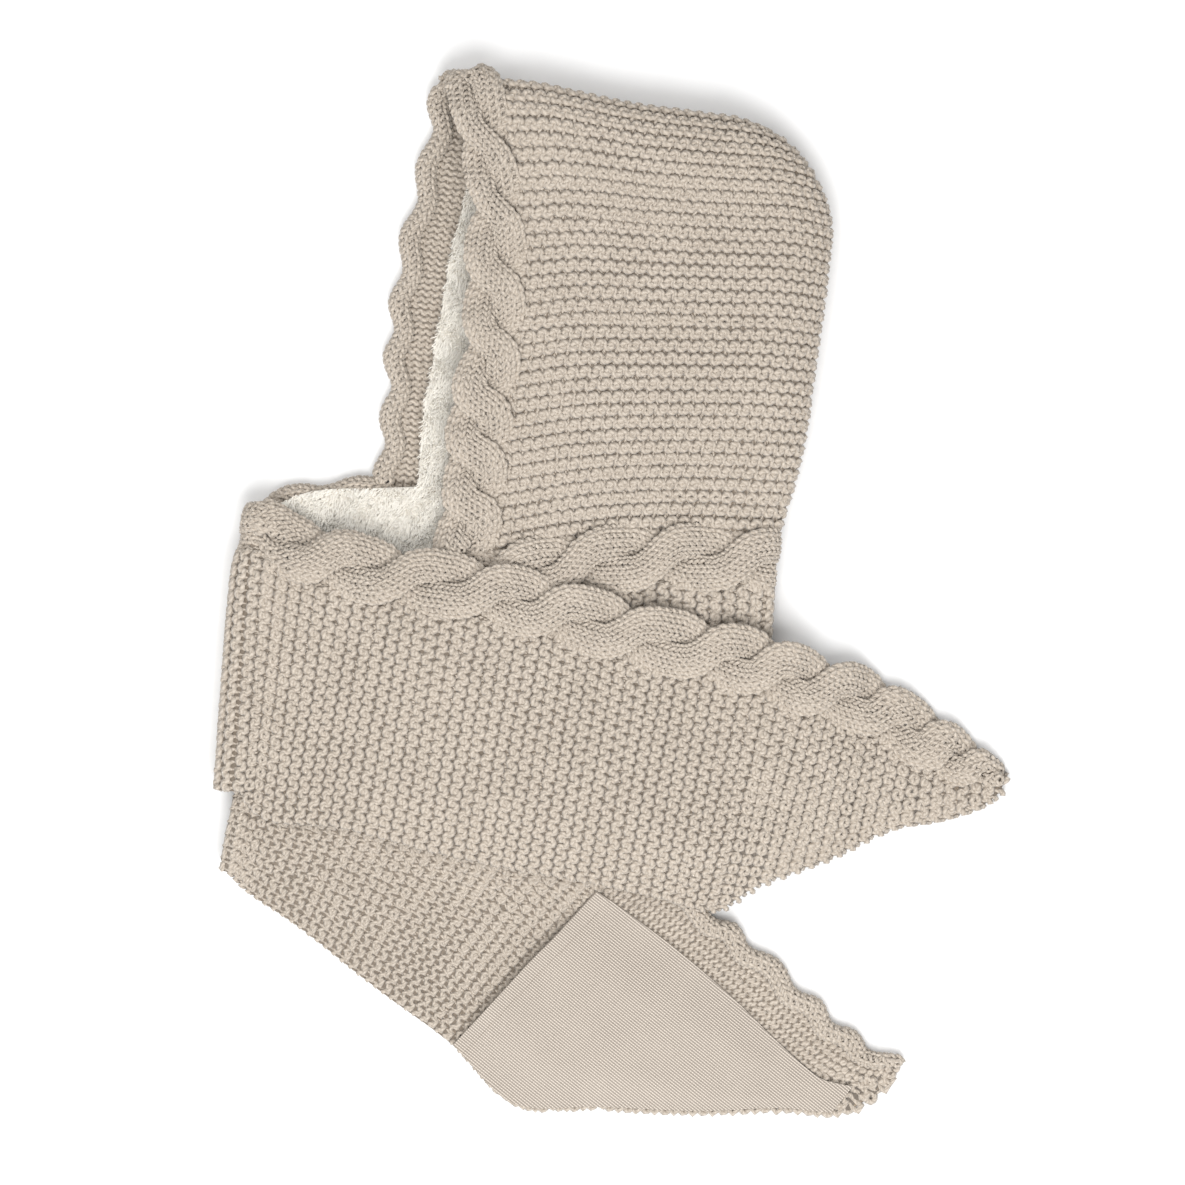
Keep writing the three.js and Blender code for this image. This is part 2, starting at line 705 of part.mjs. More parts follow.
// The cable's side of the seam runs straight between the hood's rows, as the hood's side does
function seamPoint(table, stations, top, share) {
  const row = HOOD_STEPS * (1 - (1 - share) ** (1 / FOLD_SPREAD));
  const before = Math.min(Math.floor(row), HOOD_STEPS - 1);
  const ends = [before, before + 1].map((step) => (
    faceEdge(table, 'seam', -SEAM_GAP / 2, stations, top, spreadToFold(step / HOOD_STEPS))
  ));
  return mixPoints(ends[0], ends[1], row - before);
}

function faceCableBody() {
  const cloth = new Cloth();
  const rimTop = crownCurve(0);
  const topEnd = crownSeam - crownGapShare / 2;
  const seamTop = crownCurve(topEnd);
  const rows = Math.round((HOOD_HEIGHT / FACE_LOBE_LENGTH) * STEPS_PER_LOBE);
  const sides = [
    { table: NEAR_FACE, stations: nearLegStations, level: nearLevel, flipped: false },
    { table: FAR_FACE, stations: farLegStations, level: farLevel, flipped: true },
  ];
  sides.forEach((side) => {
    cloth.addGrid(rows, CABLE_COLUMNS, (row, column) => {
      const share = spreadToFold(row / rows);
      const across = column / CABLE_COLUMNS;
      const onFold = row === rows;
      const rim = faceEdge(side.table, 'rim', 0, side.stations, rimTop, share);
      const seam = seamPoint(side.table, side.stations, seamTop, share);
      const spot = onFold
        ? crownCurve(mix(0, topEnd, across))
        : mixPoints(rim, seam, across);
      const phase = ((1 - share) * HOOD_HEIGHT) / FACE_LOBE_LENGTH;
      const swing = onFold ? 0 : LOBE_DEPTH * (lobe(phase) - 0.5) * (1 - across);
      const point = new THREE.Vector3(spot.x, spot.y, side.level(spot, onFold));
      point.x -= swing * smoothStep(FACE_LOBES_START, share);
      const half = cableHalf(phase, across);
      return { point, outer: half, inner: half };
    }, side.flipped);
  });
  return cloth.body();
}

// The lining lies inside the hood's roll, on a crown line of its own
function liningCrown(share) {
  const step = 0.5 / CURVE_SAMPLES;
  const ahead = crownCurve(Math.min(share + step, 1));
  const behind = crownCurve(Math.max(share - step, 0));
  const run = ahead.sub(behind).normalize();
  return crownCurve(share).add(new THREE.Vector2(run.y, -run.x).multiplyScalar(LINING_INSET));
}

// Side is 1 under the near half of the hood and -1 on the far half
function liningSpot(spot, side, onFold) {
  const half = (nearFlat(spot) - FLOOR_LEVEL) / 2;
  const free = Math.max(half - LINING_STANDOFF, LEAST_LINING_RISE);
  const inset = Math.max(lineDistance(spot, foldLine) - LINING_INSET, 0);
  const roll = onFold ? 0 : rollShare(inset, ROLL_WIDTH - LINING_INSET);
  const thickness = (FUR_THICKNESS / 2) * mix(LINING_FOLD_SHARE, 1, roll);
  const level = FLOOR_LEVEL + half + side * free * roll;
  return { point: new THREE.Vector3(spot.x, spot.y, level), outer: thickness, inner: thickness };
}

// The lower edge keeps the bow of the neck seam between its own two ends
function liningCurves(table, stations) {
  const top = liningCrown(crownSeam);
  const end = liningCrown(1);
  const front = (b) => faceEdge(table, 'fur', 0, stations, top, b);
  const start = front(0);
  return {
    front,
    back: (b) => liningCrown(mix(1, crownCorner, b)),
    bottom: (a) => {
      const x = mix(start.x, end.x, a);
      const chord = mix(neckHeight(stations, start.x), neckHeight(stations, end.x), a);
      const bow = neckHeight(stations, x) - chord;
      return new THREE.Vector2(x, mix(start.y, end.y, a) + bow);
    },
    top: (a) => liningCrown(mix(crownSeam, crownCorner, a)),
  };
}

function liningBody() {
  const cloth = new Cloth();
  const nearCurves = liningCurves(NEAR_FACE, nearLegStations);
  const farCurves = liningCurves(FAR_FACE, farLegStations);
  const addPanel = (curves, side, flipped) => {
    cloth.addGrid(LINING_STEPS, LINING_STEPS, (row, column) => {
      const a = spreadToFold(column / LINING_STEPS);
      const b = spreadToFold(row / LINING_STEPS);
      const onFold = row === LINING_STEPS || column === LINING_STEPS;
      return liningSpot(fillPatch(curves, a, b), side, onFold);
    }, flipped);
  };
  addPanel(nearCurves, 1, false);
  addPanel(farCurves, -1, true);

  // The far half runs on over the inner side of the neck and of the first leg
  const front = farCurves.front(0);
  const legEnd = farFold.edge.x + LINING_LIP;
  const napeLean = napeLine.hem.x / napeLine.hem.y;
  const columns = LEG_LINING_STEPS + LINING_STEPS;
  const topSpot = (column) => {
    const share = column / LEG_LINING_STEPS;
    if (share >= 1) {
      return fillPatch(farCurves, spreadToFold((column - LEG_LINING_STEPS) / LINING_STEPS), 0);
    }
    const x = mix(legEnd, front.x, share);
    return new THREE.Vector2(x, mix(neckHeight(farLegStations, x) - LINING_LIP, front.y, share));
  };
  cloth.addGrid(LINING_DROP_STEPS, columns, (row, column) => {
    const drop = LINING_DROP * (1 - row / LINING_DROP_STEPS);
    const a = spreadToFold(Math.max(column - LEG_LINING_STEPS, 0) / LINING_STEPS);
    const spot = topSpot(column).add(new THREE.Vector2(-napeLean * drop * a, -drop));
    return liningSpot(spot, -1, column === columns);
  }, true);
  return cloth.body();
}

// A pocket panel on the inner side of an arm, sewn along the cable, the hem and the tip. It
// stands off the arm's own middle surface, upward on the near arm and downward on the far one
function pocketBody(stations, mouthAt, side) {
  const first = stations.findIndex((station) => station.at >= mouthAt);
  const last = stations.findIndex((station) => station.at >= POCKET_REACH.end);
  const cloth = new Cloth();
  cloth.addGrid(last - first, BAND_COLUMNS, (step, column) => {
    const row = first + step;
    const station = stations[row];
    const across = bandAcross(station, column);
    const point = station.point(across);
    if (column === BAND_COLUMNS) {
      const before = bandAcross(station, column - 1);
      const inset = Math.min(POCKET_HEM / ((1 - before) * station.width), 0.5);
      point.lerp(station.point(before), inset);
    }
    const room = POCKET_ROOM * pocketShare(station.at, mouthAt, column / BAND_COLUMNS);
    const close = POCKET_SEAT - POCKET_THICKNESS / 2 + room;
    const far = close + POCKET_THICKNESS;
    const halves = side > 0 ? { outer: far, inner: -close } : { outer: -close, inner: far };
    return { point, normal: stripNormal(stations, row, across), ...halves };
  });
  return cloth.body();
}

const snood = new THREE.Group();

function addPiece(name, geometry, material) {
  const piece = new THREE.Mesh(geometry, material);
  piece.name = name;
  snood.add(piece);
}

addPiece('hood_shell', hoodBody(), WOOL);
addPiece('face_cable', faceCableBody(), CABLE_WOOL.clone());
addPiece('hood_lining', liningBody(), FUR);
addPiece('scarf_band', bandBody(), WOOL.clone());
addPiece('scarf_cable', cableBody(), CABLE_WOOL);
addPiece('pocket_near', pocketBody(nearArmStations, POCKET_REACH.nearMouth, 1), FINE_WOOL);
addPiece('pocket_far', pocketBody(farArmStations, POCKET_REACH.farMouth, -1), FINE_WOOL.clone());

// The origin is the middle of the plan, on the surface that the scarf lies on
const box = new THREE.Box3().setFromObject(snood);
const centre = box.getCenter(new THREE.Vector3());
snood.position.set(-centre.x, -centre.y, -box.min.z);

export default snood;
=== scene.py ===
"""Looks of a hooded scarf with a fur lining and hand pockets, lying on its side.

Lengths are millimetres until a mesh is made. Places are measured from the point where the
back of the hood meets the scarf: +X is the nape side, +Y the crown and +Z up.
"""

import logging
import math
from collections.abc import Callable, Sequence
from dataclasses import dataclass, field
from enum import Enum

import bpy
import numpy as np
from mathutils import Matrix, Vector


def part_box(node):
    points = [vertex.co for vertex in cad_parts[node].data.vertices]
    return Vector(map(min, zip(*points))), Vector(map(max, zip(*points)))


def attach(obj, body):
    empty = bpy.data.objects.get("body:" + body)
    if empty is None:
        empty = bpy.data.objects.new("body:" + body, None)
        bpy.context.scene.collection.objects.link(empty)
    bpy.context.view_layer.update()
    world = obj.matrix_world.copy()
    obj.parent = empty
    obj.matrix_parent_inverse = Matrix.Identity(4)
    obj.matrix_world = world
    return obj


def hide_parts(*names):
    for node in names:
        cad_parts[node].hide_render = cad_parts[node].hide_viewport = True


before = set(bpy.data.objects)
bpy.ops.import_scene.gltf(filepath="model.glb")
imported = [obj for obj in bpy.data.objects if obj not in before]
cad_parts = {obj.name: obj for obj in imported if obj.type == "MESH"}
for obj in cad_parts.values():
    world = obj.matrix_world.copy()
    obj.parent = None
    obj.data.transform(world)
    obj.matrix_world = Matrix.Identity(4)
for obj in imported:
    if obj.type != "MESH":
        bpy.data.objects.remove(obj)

log = logging.getLogger("snood")

Array = np.ndarray
Curve = Callable[[Array], Array]
Colour = tuple[float, float, float]

# Metres in a millimetre
MM = 0.001

# Sizes of the scarf strip, as in the part's source
BAND_WIDTH = 206.0
CABLE_WIDTH = 41.0
NEAR_LEG_LENGTH = 364.0
FAR_LEG_LENGTH = 379.0
NEAR_ARM_LENGTH = 572.0
FAR_ARM_LENGTH = 589.0

# Sizes of the hood
HOOD_DEPTH = 243.0
HOOD_HEIGHT = 345.0

# Heights of the lying layers, at the middle of their cloth
HOOD_RISE = 54.0
NECK_RISE = 34.0
LEG_RISE = 20.0
FRONT_DROP = 12.0

# Cloth and clearances
OUTER_HALF = 4.1
INNER_HALF = 2.9
CABLE_HALF = 4.1
FUR_THICKNESS = 6.0
POCKET_THICKNESS = 2.0
SEAM_GAP = 0.5
FUR_GAP = 0.6
LAYER_ROOM = 2.8
POCKET_ROOM = 7.0
POCKET_LEAD = 0.5
POCKET_SIDE = 0.3
POCKET_HEM = 0.5
POCKET_HALF = 0.9
CORE_HALF = 1.0
CORE_TRIM = 0.25
LINING_INSET = 12.0
LINING_LIP = 7.0
LINING_DROP = 100.0
ROLL_WIDTH = 40.0
DRAPE_HOLD = 16.0
DRAPE_WIDTH = 85.0
FOLD_SQUARENESS = 0.7
UNDERLAP = 9.0
UNDERLAP_DROP = 2.5

# Least height of yarn and cloth over the floor
FLOOR_GAP = 0.2

# Largest share of a tip's width that the cable takes
WIDEST_TIP_CABLE = 0.55

# Levels that follow from the sizes above
FLOOR_LEVEL = OUTER_HALF
STACK_STEP = 2 * OUTER_HALF + LAYER_ROOM
POCKET_SEAT = INNER_HALF + SEAM_GAP + POCKET_THICKNESS / 2
FAR_END_LEVEL = POCKET_SEAT + POCKET_THICKNESS / 2
LINING_STANDOFF = CABLE_HALF + FUR_GAP + FUR_THICKNESS / 2
ON_FUR_LEVEL = FLOOR_LEVEL + 2 * CABLE_HALF + FUR_GAP + FUR_THICKNESS + LAYER_ROOM

# The photograph's frame: its width in millimetres, and its middle in the part's frame
PHOTO_WIDTH = 876.9
PHOTO_MIDDLE = (-13.3, -2.05)


@dataclass(frozen=True)
class Stretch:
    """One straight run of the scarf strip.

    The rows hold a share of the stretch, then the rise of the cable edge, the width along
    the knitted rows and the hem's shift, in shares of the band's width.
    """

    heading: float
    side: int
    length: float
    rows: tuple[tuple[float, float, float, float], ...]


NEAR_LEG = Stretch(187.2, -1, NEAR_LEG_LENGTH, (
    (0.17, 0.055, 1.015, 0.13), (0.35, 0.085, 1.04, 0.1), (0.56, 0.07, 1.0, 0.125),
    (0.77, 0.045, 1.005, 0.13), (0.91, 0.02, 0.99, 0.2), (1.0, 0.0, 0.96, 0.33),
))
FAR_LEG = Stretch(176.1, -1, FAR_LEG_LENGTH, (
    (0.27, 0.02, 0.985, -0.07), (0.54, 0.06, 0.985, -0.07), (0.78, 0.09, 1.01, -0.06),
    (0.91, 0.07, 1.045, -0.035), (1.0, 0.0, 1.05, 0.005),
))
NEAR_ARM = Stretch(-37, 1, NEAR_ARM_LENGTH, (
    (0.07, 0.02, 0.955, 0.33), (0.19, 0.025, 0.955, 0.225), (0.37, 0.017, 0.96, 0.093),
    (0.55, 0.014, 0.955, -0.09), (0.685, 0.007, 0.985, -0.155), (0.79, -0.01, 0.79, -0.19),
    (0.88, -0.038, 0.555, -0.14), (0.943, -0.047, 0.365, -0.093), (0.98, -0.03, 0.24, 0.01),
    (1.0, -0.006, 0.085, 0.01),
))
FAR_ARM = Stretch(-20.4, 1, FAR_ARM_LENGTH, (
    (0.05, -0.03, 1.04, 0.25), (0.17, -0.005, 1.0, 0.18), (0.28, 0.055, 1.03, 0.19),
    (0.385, 0.087, 1.02, 0.19), (0.49, 0.11, 0.99, 0.177), (0.58, 0.14, 0.985, 0.175),
    (0.66, 0.165, 0.99, 0.135), (0.723, 0.158, 0.83, 0.08), (0.79, 0.166, 0.663, 0.094),
    (0.855, 0.132, 0.46, 0.075), (0.906, 0.092, 0.33, 0.084), (0.96, 0.045, 0.18, 0.06),
    (0.995, 0.01, 0.07, 0.007),
))
NAPE_HEM = (-0.068 * BAND_WIDTH, -0.995 * BAND_WIDTH)

# Reach along the cable edges, and heights in the face opening, at which two lobes meet
NECK_LOBES = (-33, 27, 87, 149, 205, 263, 321, 380)
FAR_ARM_LOBES = (-5, 53, 112, 173, 226, 284, 345, 392, 437, 483, 530, 563, 600)
NEAR_ARM_LOBES = (-10, 50, 110, 170, 230, 290, 345, 397, 430, 479, 515, 550, 590)
FAR_LEG_LOBES = (-10, 48, 106, 164, 222, 280, 338, 396)
NEAR_FACE_LOBES = (-22, 18, 59, 96, 141, 189, 240, 292, 345)
FAR_FACE_LOBES = (-15, 25, 67, 111, 152, 196, 248, 300, 345)

# Shares of an arm at which its pocket begins and ends
NEAR_MOUTH_AT = 0.55
FAR_MOUTH_AT = 0.48
POCKET_END_AT = 0.97

# Crown and back of the hood from the face to the nape: forward in depths, up in heights
CROWN = (
    (1.01, 0.993), (0.963, 1.0), (0.84, 0.976), (0.72, 0.964), (0.476, 0.925), (0.23, 0.9),
    (0.11, 0.886), (-0.012, 0.843), (-0.073, 0.8), (-0.119, 0.75), (-0.158, 0.665),
    (-0.155, 0.61), (-0.134, 0.483), (-0.11, 0.365), (-0.067, 0.16), (0.0, 0.0),
)
CROWN_SEAM = 2 / 15
CROWN_CORNER = 8 / 15
ROW_CORNER = 6.6 / 15
ROW_DROOP = 0.12
ROW_LIFT = 0.018

# Face opening from the neck to the crown: share of the height, rim, seam and fur in depths
NEAR_FACE = (
    (0.0, 1.03, 0.86, 0.93), (0.16, 0.99, 0.835, 0.9), (0.32, 0.985, 0.8, 0.88),
    (0.43, 0.93, 0.785, 0.85), (0.6, 0.93, 0.765, 0.84), (0.74, 0.91, 0.78, 0.84),
    (0.87, 0.955, 0.81, 0.84), (0.955, 0.98, 0.835, 0.82),
)
FAR_FACE = (
    (0.0, 1.215, 1.05, 1.09), (0.11, 1.198, 1.03, 1.083), (0.24, 1.18, 1.015, 1.065),
    (0.33, 1.18, 1.01, 1.043), (0.475, 1.158, 0.99, 1.015), (0.61, 1.128, 0.96, 0.985),
    (0.715, 1.095, 0.93, 0.957), (0.86, 1.055, 0.89, 0.9), (0.955, 1.04, 0.85, 0.84),
)
RIM, SEAM, FUR_EDGE = 1, 2, 3


# Plan and heights of the cloth


def mix(low: Array, high: Array, share: Array) -> Array:
    """Blend two numbers or arrays by a share."""
    return low + (high - low) * share


def smooth_step(low: float, high: float, value: Array) -> Array:
    """Rise smoothly from 0 at low to 1 at high."""
    share = np.clip((value - low) / (high - low), 0, 1)
    return share * share * (3 - 2 * share)


def bump_at(centre: float, width: float, value: Array) -> Array:
    """Rise smoothly to 1 at centre and fall to 0 a width away."""
    return np.exp(-(((value - centre) / width) ** 2))


def curve_through(points: Array) -> Curve:
    """Make a centripetal Catmull-Rom curve.

    Args:
        points: The points that the curve passes, one in each row.

    Returns:
        A function from shares, 0 to 1, to points.
    """
    last = len(points) - 1
    knots = np.vstack([2 * points[0] - points[1], points, 2 * points[last] - points[last - 1]])
    spans = np.sqrt(np.linalg.norm(np.diff(knots, axis=0), axis=1))[:, None]

    def at(share: Array) -> Array:
        """Read the curve at shares of its spans."""
        place = np.clip(share, 0, 1) * last
        index = np.minimum(place.astype(int), last - 1)
        weight = (place - index)[..., None]
        before, start, end, after = (knots[index + step] for step in range(4))
        gap, step, rest = (spans[index + step] for step in range(3))
        leave = ((start - before) / gap - (end - before) / (gap + step)) * step + end - start
        arrive = end - start + ((after - end) / rest - (after - start) / (step + rest)) * step
        bend = 3 * (end - start) - 2 * leave - arrive
        twist = 2 * (start - end) + leave + arrive
        return start + weight * (leave + weight * (bend + weight * twist))

    return at


def unit(directions: Array) -> Array:
    """Directions at a length of one."""
    return directions / np.maximum(np.linalg.norm(directions, axis=-1, keepdims=True), 1e-9)


def lengths_along(points: Array) -> Array:
    """Running length along a line of points, from 0."""
    steps = np.linalg.norm(np.diff(points, axis=0), axis=1)
    return np.concatenate([[0.0], np.cumsum(steps)])


def line_distance(points: Array, line: Array) -> Array:
    """Distance of plan points from a broken line.

    Args:
        points: Plan points, in an array of any shape that ends in 2.
        line: The line's corners.

    Returns:
        One distance for each point.
    """
    spots = points.reshape(-1, 1, 2)
    start, run = line[:-1], np.diff(line, axis=0)
    share = ((spots - start) * run).sum(-1) / np.maximum((run**2).sum(-1), 1e-9)
    gaps = spots - start - np.clip(share, 0, 1)[..., None] * run
    return np.sqrt((gaps**2).sum(-1).min(axis=1)).reshape(points.shape[:-1])


def is_inside(points: Array, outline: Array) -> Array:
    """Tell which plan points lie inside a closed outline."""
    x, y = points[..., 0, None], points[..., 1, None]
    this_x, this_y = outline[:, 0], outline[:, 1]
    last_x, last_y = np.roll(this_x, 1), np.roll(this_y, 1)
    crosses = (this_y > y) != (last_y > y)
    climbed = (y - this_y) / np.where(last_y == this_y, 1e-9, last_y - this_y)
    return (crosses & (x < mix(this_x, last_x, climbed))).sum(-1) % 2 == 1


def depth_inside(points: Array, outline: Array) -> Array:
    """How far plan points lie inside a closed outline, below 0 outside."""
    distance = line_distance(points, np.vstack([outline, outline[:1]]))
    return np.where(is_inside(points, outline), distance, -distance)


def coverage(points: Array, outline: Array) -> Array:
    """Give 1 over a lower layer, falling to 0 where the cloth above reaches the floor."""
    depth = depth_inside(points, outline)
    return 1 - smooth_step(DRAPE_HOLD, DRAPE_HOLD + DRAPE_WIDTH, -depth)


def plan(forward: Array, up: Array) -> Array:
    """Plan points from hood depths forward and hood heights up."""
    return np.stack([-np.asarray(forward) * HOOD_DEPTH, np.asarray(up) * HOOD_HEIGHT], axis=-1)


def raised(spots: Array, heights: Array) -> Array:
    """Places at heights over plan points."""
    return np.concatenate([spots, heights[..., None]], axis=-1)


def roll_share(distance: Array, width: float) -> Array:
    """Quarter ellipse: 0 at the fold, 1 where the cloth lies flat."""
    rest = 1 - np.minimum(distance / width, 1)
    return np.sqrt(1 - rest * rest)


class LaidStretch:
    """Plan lines of one stretch, from its first fold line through its rows."""

    SAMPLES = 240
    OUTLINE_SAMPLES = 40

    def __init__(self, stretch: Stretch, start: Array, start_hem: Array) -> None:
        """Lay the stretch from its first line.

        Args:
            stretch: The stretch's table.
            start: The cable end of the first line.
            start_hem: The hem end of the first line.
        """
        angle = math.radians(stretch.heading)
        along = np.array([math.cos(angle), math.sin(angle)])
        upward = np.array([-along[1], along[0]]) * stretch.side
        at, rise, width, shift = np.array(stretch.rows).T[:, :, None]
        edges = start + along * at * stretch.length + upward * rise * BAND_WIDTH
        hems = edges - upward * width * BAND_WIDTH + along * shift * BAND_WIDTH
        self.edge_curve = curve_through(np.vstack([start, edges]))
        self.hem_curve = curve_through(np.vstack([start_hem, hems]))
        self.shares = np.linspace(0, 1, self.SAMPLES + 1)
        self.reach = lengths_along(self.edge_curve(self.shares))
        self.length = float(self.reach[-1])
        self.last = (edges[-1], hems[-1])
        shares = np.linspace(0, 1, self.OUTLINE_SAMPLES + 1)
        self.outline = np.vstack([self.edge_curve(shares), self.hem_curve(shares[::-1])])

    def lines_at(self, distances: Array) -> tuple[Array, Array]:
        """Cable ends and hem ends of the knitted rows at distances along the cable edge."""
        shares = np.interp(distances, self.reach, self.shares)
        return self.edge_curve(shares), self.hem_curve(shares)


class Lay:
    """Plan outlines and heights of the cloth as it lies."""

    CROWN_SAMPLES = 120
    HOOD_RISES = (0, 0.4)
    NECK_FALLS_FORWARD = (0.85, 1.4)
    NECK_FALLS_DOWN = (0.05, 0.4)
    FRONT_FALLS = (0.65, 1.0)

    def __init__(self) -> None:
        """Lay the four stretches and the hood's outline."""
        nape = np.zeros(2)
        nape_hem = np.array(NAPE_HEM)
        self.near_leg = LaidStretch(NEAR_LEG, nape, nape_hem)
        self.far_leg = LaidStretch(FAR_LEG, nape, nape_hem)
        self.near_arm = LaidStretch(NEAR_ARM, *self.near_leg.last)
        self.far_arm = LaidStretch(FAR_ARM, *self.far_leg.last)
        crown = np.array(CROWN)
        self.crown = curve_through(plan(crown[:, 0], crown[:, 1]))
        crown_line = self.crown(np.linspace(0, 1, self.CROWN_SAMPLES + 1))
        far_face = np.array(FAR_FACE)
        self.fold_line = np.vstack([crown_line, nape_hem])
        self.far_outline = np.vstack([crown_line, plan(far_face[:, RIM], far_face[:, 0])])

    def covered(self, points: Array, *lower: Array) -> Array:
        """Give 1 over any of some lower outlines, falling to 0 beside them."""
        return np.max([coverage(points, outline) for outline in lower], axis=0)

    def open_rise(self, points: Array) -> Array:
        """Height of the cloth where the pouch lies fully open."""
        forward = -points[..., 0] / HOOD_DEPTH
        up = points[..., 1] / HOOD_HEIGHT
        hood = smooth_step(*self.HOOD_RISES, up)
        leg = np.maximum(
            smooth_step(*self.NECK_FALLS_FORWARD, forward), smooth_step(*self.NECK_FALLS_DOWN, -up)
        )
        neck = mix(NECK_RISE, LEG_RISE, leg * (1 - hood))
        front = FRONT_DROP * smooth_step(*self.FRONT_FALLS, forward) * hood
        return mix(neck, HOOD_RISE, hood) - front

    def near_flat(self, points: Array) -> Array:
        """Height of the near layer away from its fold."""
        under = self.covered(points, self.far_leg.outline, self.far_outline)
        return mix(FLOOR_LEVEL, self.open_rise(points), under)

    def near_level(self, points: Array) -> Array:
        """Height of the near half of the hood and of the near leg."""
        roll = roll_share(line_distance(points, self.fold_line), ROLL_WIDTH)
        return mix(FLOOR_LEVEL, self.near_flat(points), 0.5 + 0.5 * roll)

    def far_level(self, points: Array) -> Array:
        """Height of the far half of the hood and of the far leg."""
        roll = roll_share(line_distance(points, self.fold_line), ROLL_WIDTH)
        return mix(FLOOR_LEVEL, self.near_flat(points), 0.5 - 0.5 * roll)

    def both_halves(self, near: Array, far: Array) -> tuple[Array, Array]:
        """Places of the near and the far half over their plan points."""
        return raised(near, self.near_level(near)), raised(far, self.far_level(far))

    def near_arm_level(self, points: Array) -> Array:
        """Height of the near arm, which lies on the near leg."""
        on_leg = coverage(points, self.near_leg.outline)
        return mix(FLOOR_LEVEL, self.near_flat(points) + STACK_STEP, on_leg)

    def far_arm_level(self, points: Array) -> Array:
        """Height of the far arm, which lies on all the rest."""
        level = mix(FAR_END_LEVEL, ON_FUR_LEVEL, coverage(points, self.far_leg.outline))
        near = self.near_flat(points) + STACK_STEP
        level = mix(level, near, coverage(points, self.near_leg.outline))
        above = self.near_arm_level(points) + STACK_STEP
        return mix(level, above, coverage(points, self.near_arm.outline))

    def neck_height(self, leg: LaidStretch, x: Array) -> Array:
        """Cable edge of a leg as a height over plan X."""
        edge = leg.edge_curve(leg.shares)[::-1]
        return np.interp(x, edge[:, 0], edge[:, 1]) + SEAM_GAP


# Sheets of cloth


@dataclass
class Sheet:
    """A sheet of cloth as a grid of places, whose outer side is known.

    Attributes:
        places: Places in rows and columns, in millimetres.
        normals: Directions of the outer side at the same places.
    """

    places: Array
    normals: Array = field(init=False)

    def __post_init__(self) -> None:
        """Work out the normals."""
        along = np.gradient(self.places, axis=0)
        across = np.gradient(self.places, axis=1)
        self.normals = unit(np.cross(across, along))

    @property
    def last_row(self) -> int:
        """Number of the last row."""
        return self.places.shape[0] - 1

    @property
    def last_column(self) -> int:
        """Number of the last column."""
        return self.places.shape[1] - 1

    def read(self, grid: Array, rows: Array, columns: Array) -> Array:
        """Read a grid between its places, and beside its edges, by linear steps."""
        rows = np.clip(rows, 0, self.last_row)
        row = np.minimum(rows.astype(int), self.last_row - 1)
        column = np.clip(columns.astype(int), 0, self.last_column - 1)
        down, right = (rows - row)[..., None], (columns - column)[..., None]
        first = mix(grid[row, column], grid[row, column + 1], right)
        second = mix(grid[row + 1, column], grid[row + 1, column + 1], right)
        return mix(first, second, down)

    def spot(self, rows: Array, columns: Array, height: Array) -> tuple[Array, Array]:
        """Places at a height over the sheet's outer side.

        Args:
            rows: Row numbers, which may lie between rows.
            columns: Column numbers.
            height: Height over the middle of the cloth.

        Returns:
            The places and the outer normals there.
        """
        rows, columns, height = np.broadcast_arrays(rows, columns, height)
        normals = unit(self.read(self.normals, rows, columns))
        return self.read(self.places, rows, columns) + normals * height[..., None], normals

    def row_lengths(self, column: int) -> Array:
        """Running distance between the rows near one column, square to the rows."""
        steps = np.diff(self.places[:, column], axis=0)
        along = self.places[:, column + 1] - self.places[:, column - 1]
        along = unit(along[1:] + along[:-1])
        square = steps - along * (steps * along).sum(-1, keepdims=True)
        return np.concatenate([[0.0], np.cumsum(np.linalg.norm(square, axis=1))])

    def widths(self) -> Array:
        """Width of the sheet at each of its rows."""
        return np.linalg.norm(self.places[:, 0] - self.places[:, -1], axis=1)

    def outward(self) -> Array:
        """Direction from the last column to the first at each row."""
        return unit(self.places[:, 0] - self.places[:, -1])

    def trimmed(self, share: float) -> "Sheet":
        """The sheet without a share of its width at its first column."""
        rows = np.arange(self.last_row + 1)[:, None]
        columns = np.linspace(share, 1, self.last_column + 1)[None] * self.last_column
        return Sheet(self.spot(rows, columns, 0)[0])

    def widened(self, width: float, drop: float) -> "Sheet":
        """The sheet with one more column before its first, a little lower."""
        more = self.places[:, 0] + unit(self.places[:, 0] - self.places[:, 1]) * width
        more = more - self.normals[:, 0] * drop
        return Sheet(np.concatenate([more[:, None], self.places], axis=1))

    def lengthened(self, length: float, drop: float) -> "Sheet":
        """The sheet with one more row before its first, a little lower."""
        more = self.places[0] + unit(self.places[0] - self.places[1]) * length
        more = more - self.normals[0] * drop
        return Sheet(np.concatenate([more[None], self.places]))

    def lowered(self, depth: float) -> "Sheet":
        """The same sheet a little lower on its inner side."""
        return Sheet(self.places - self.normals * depth)


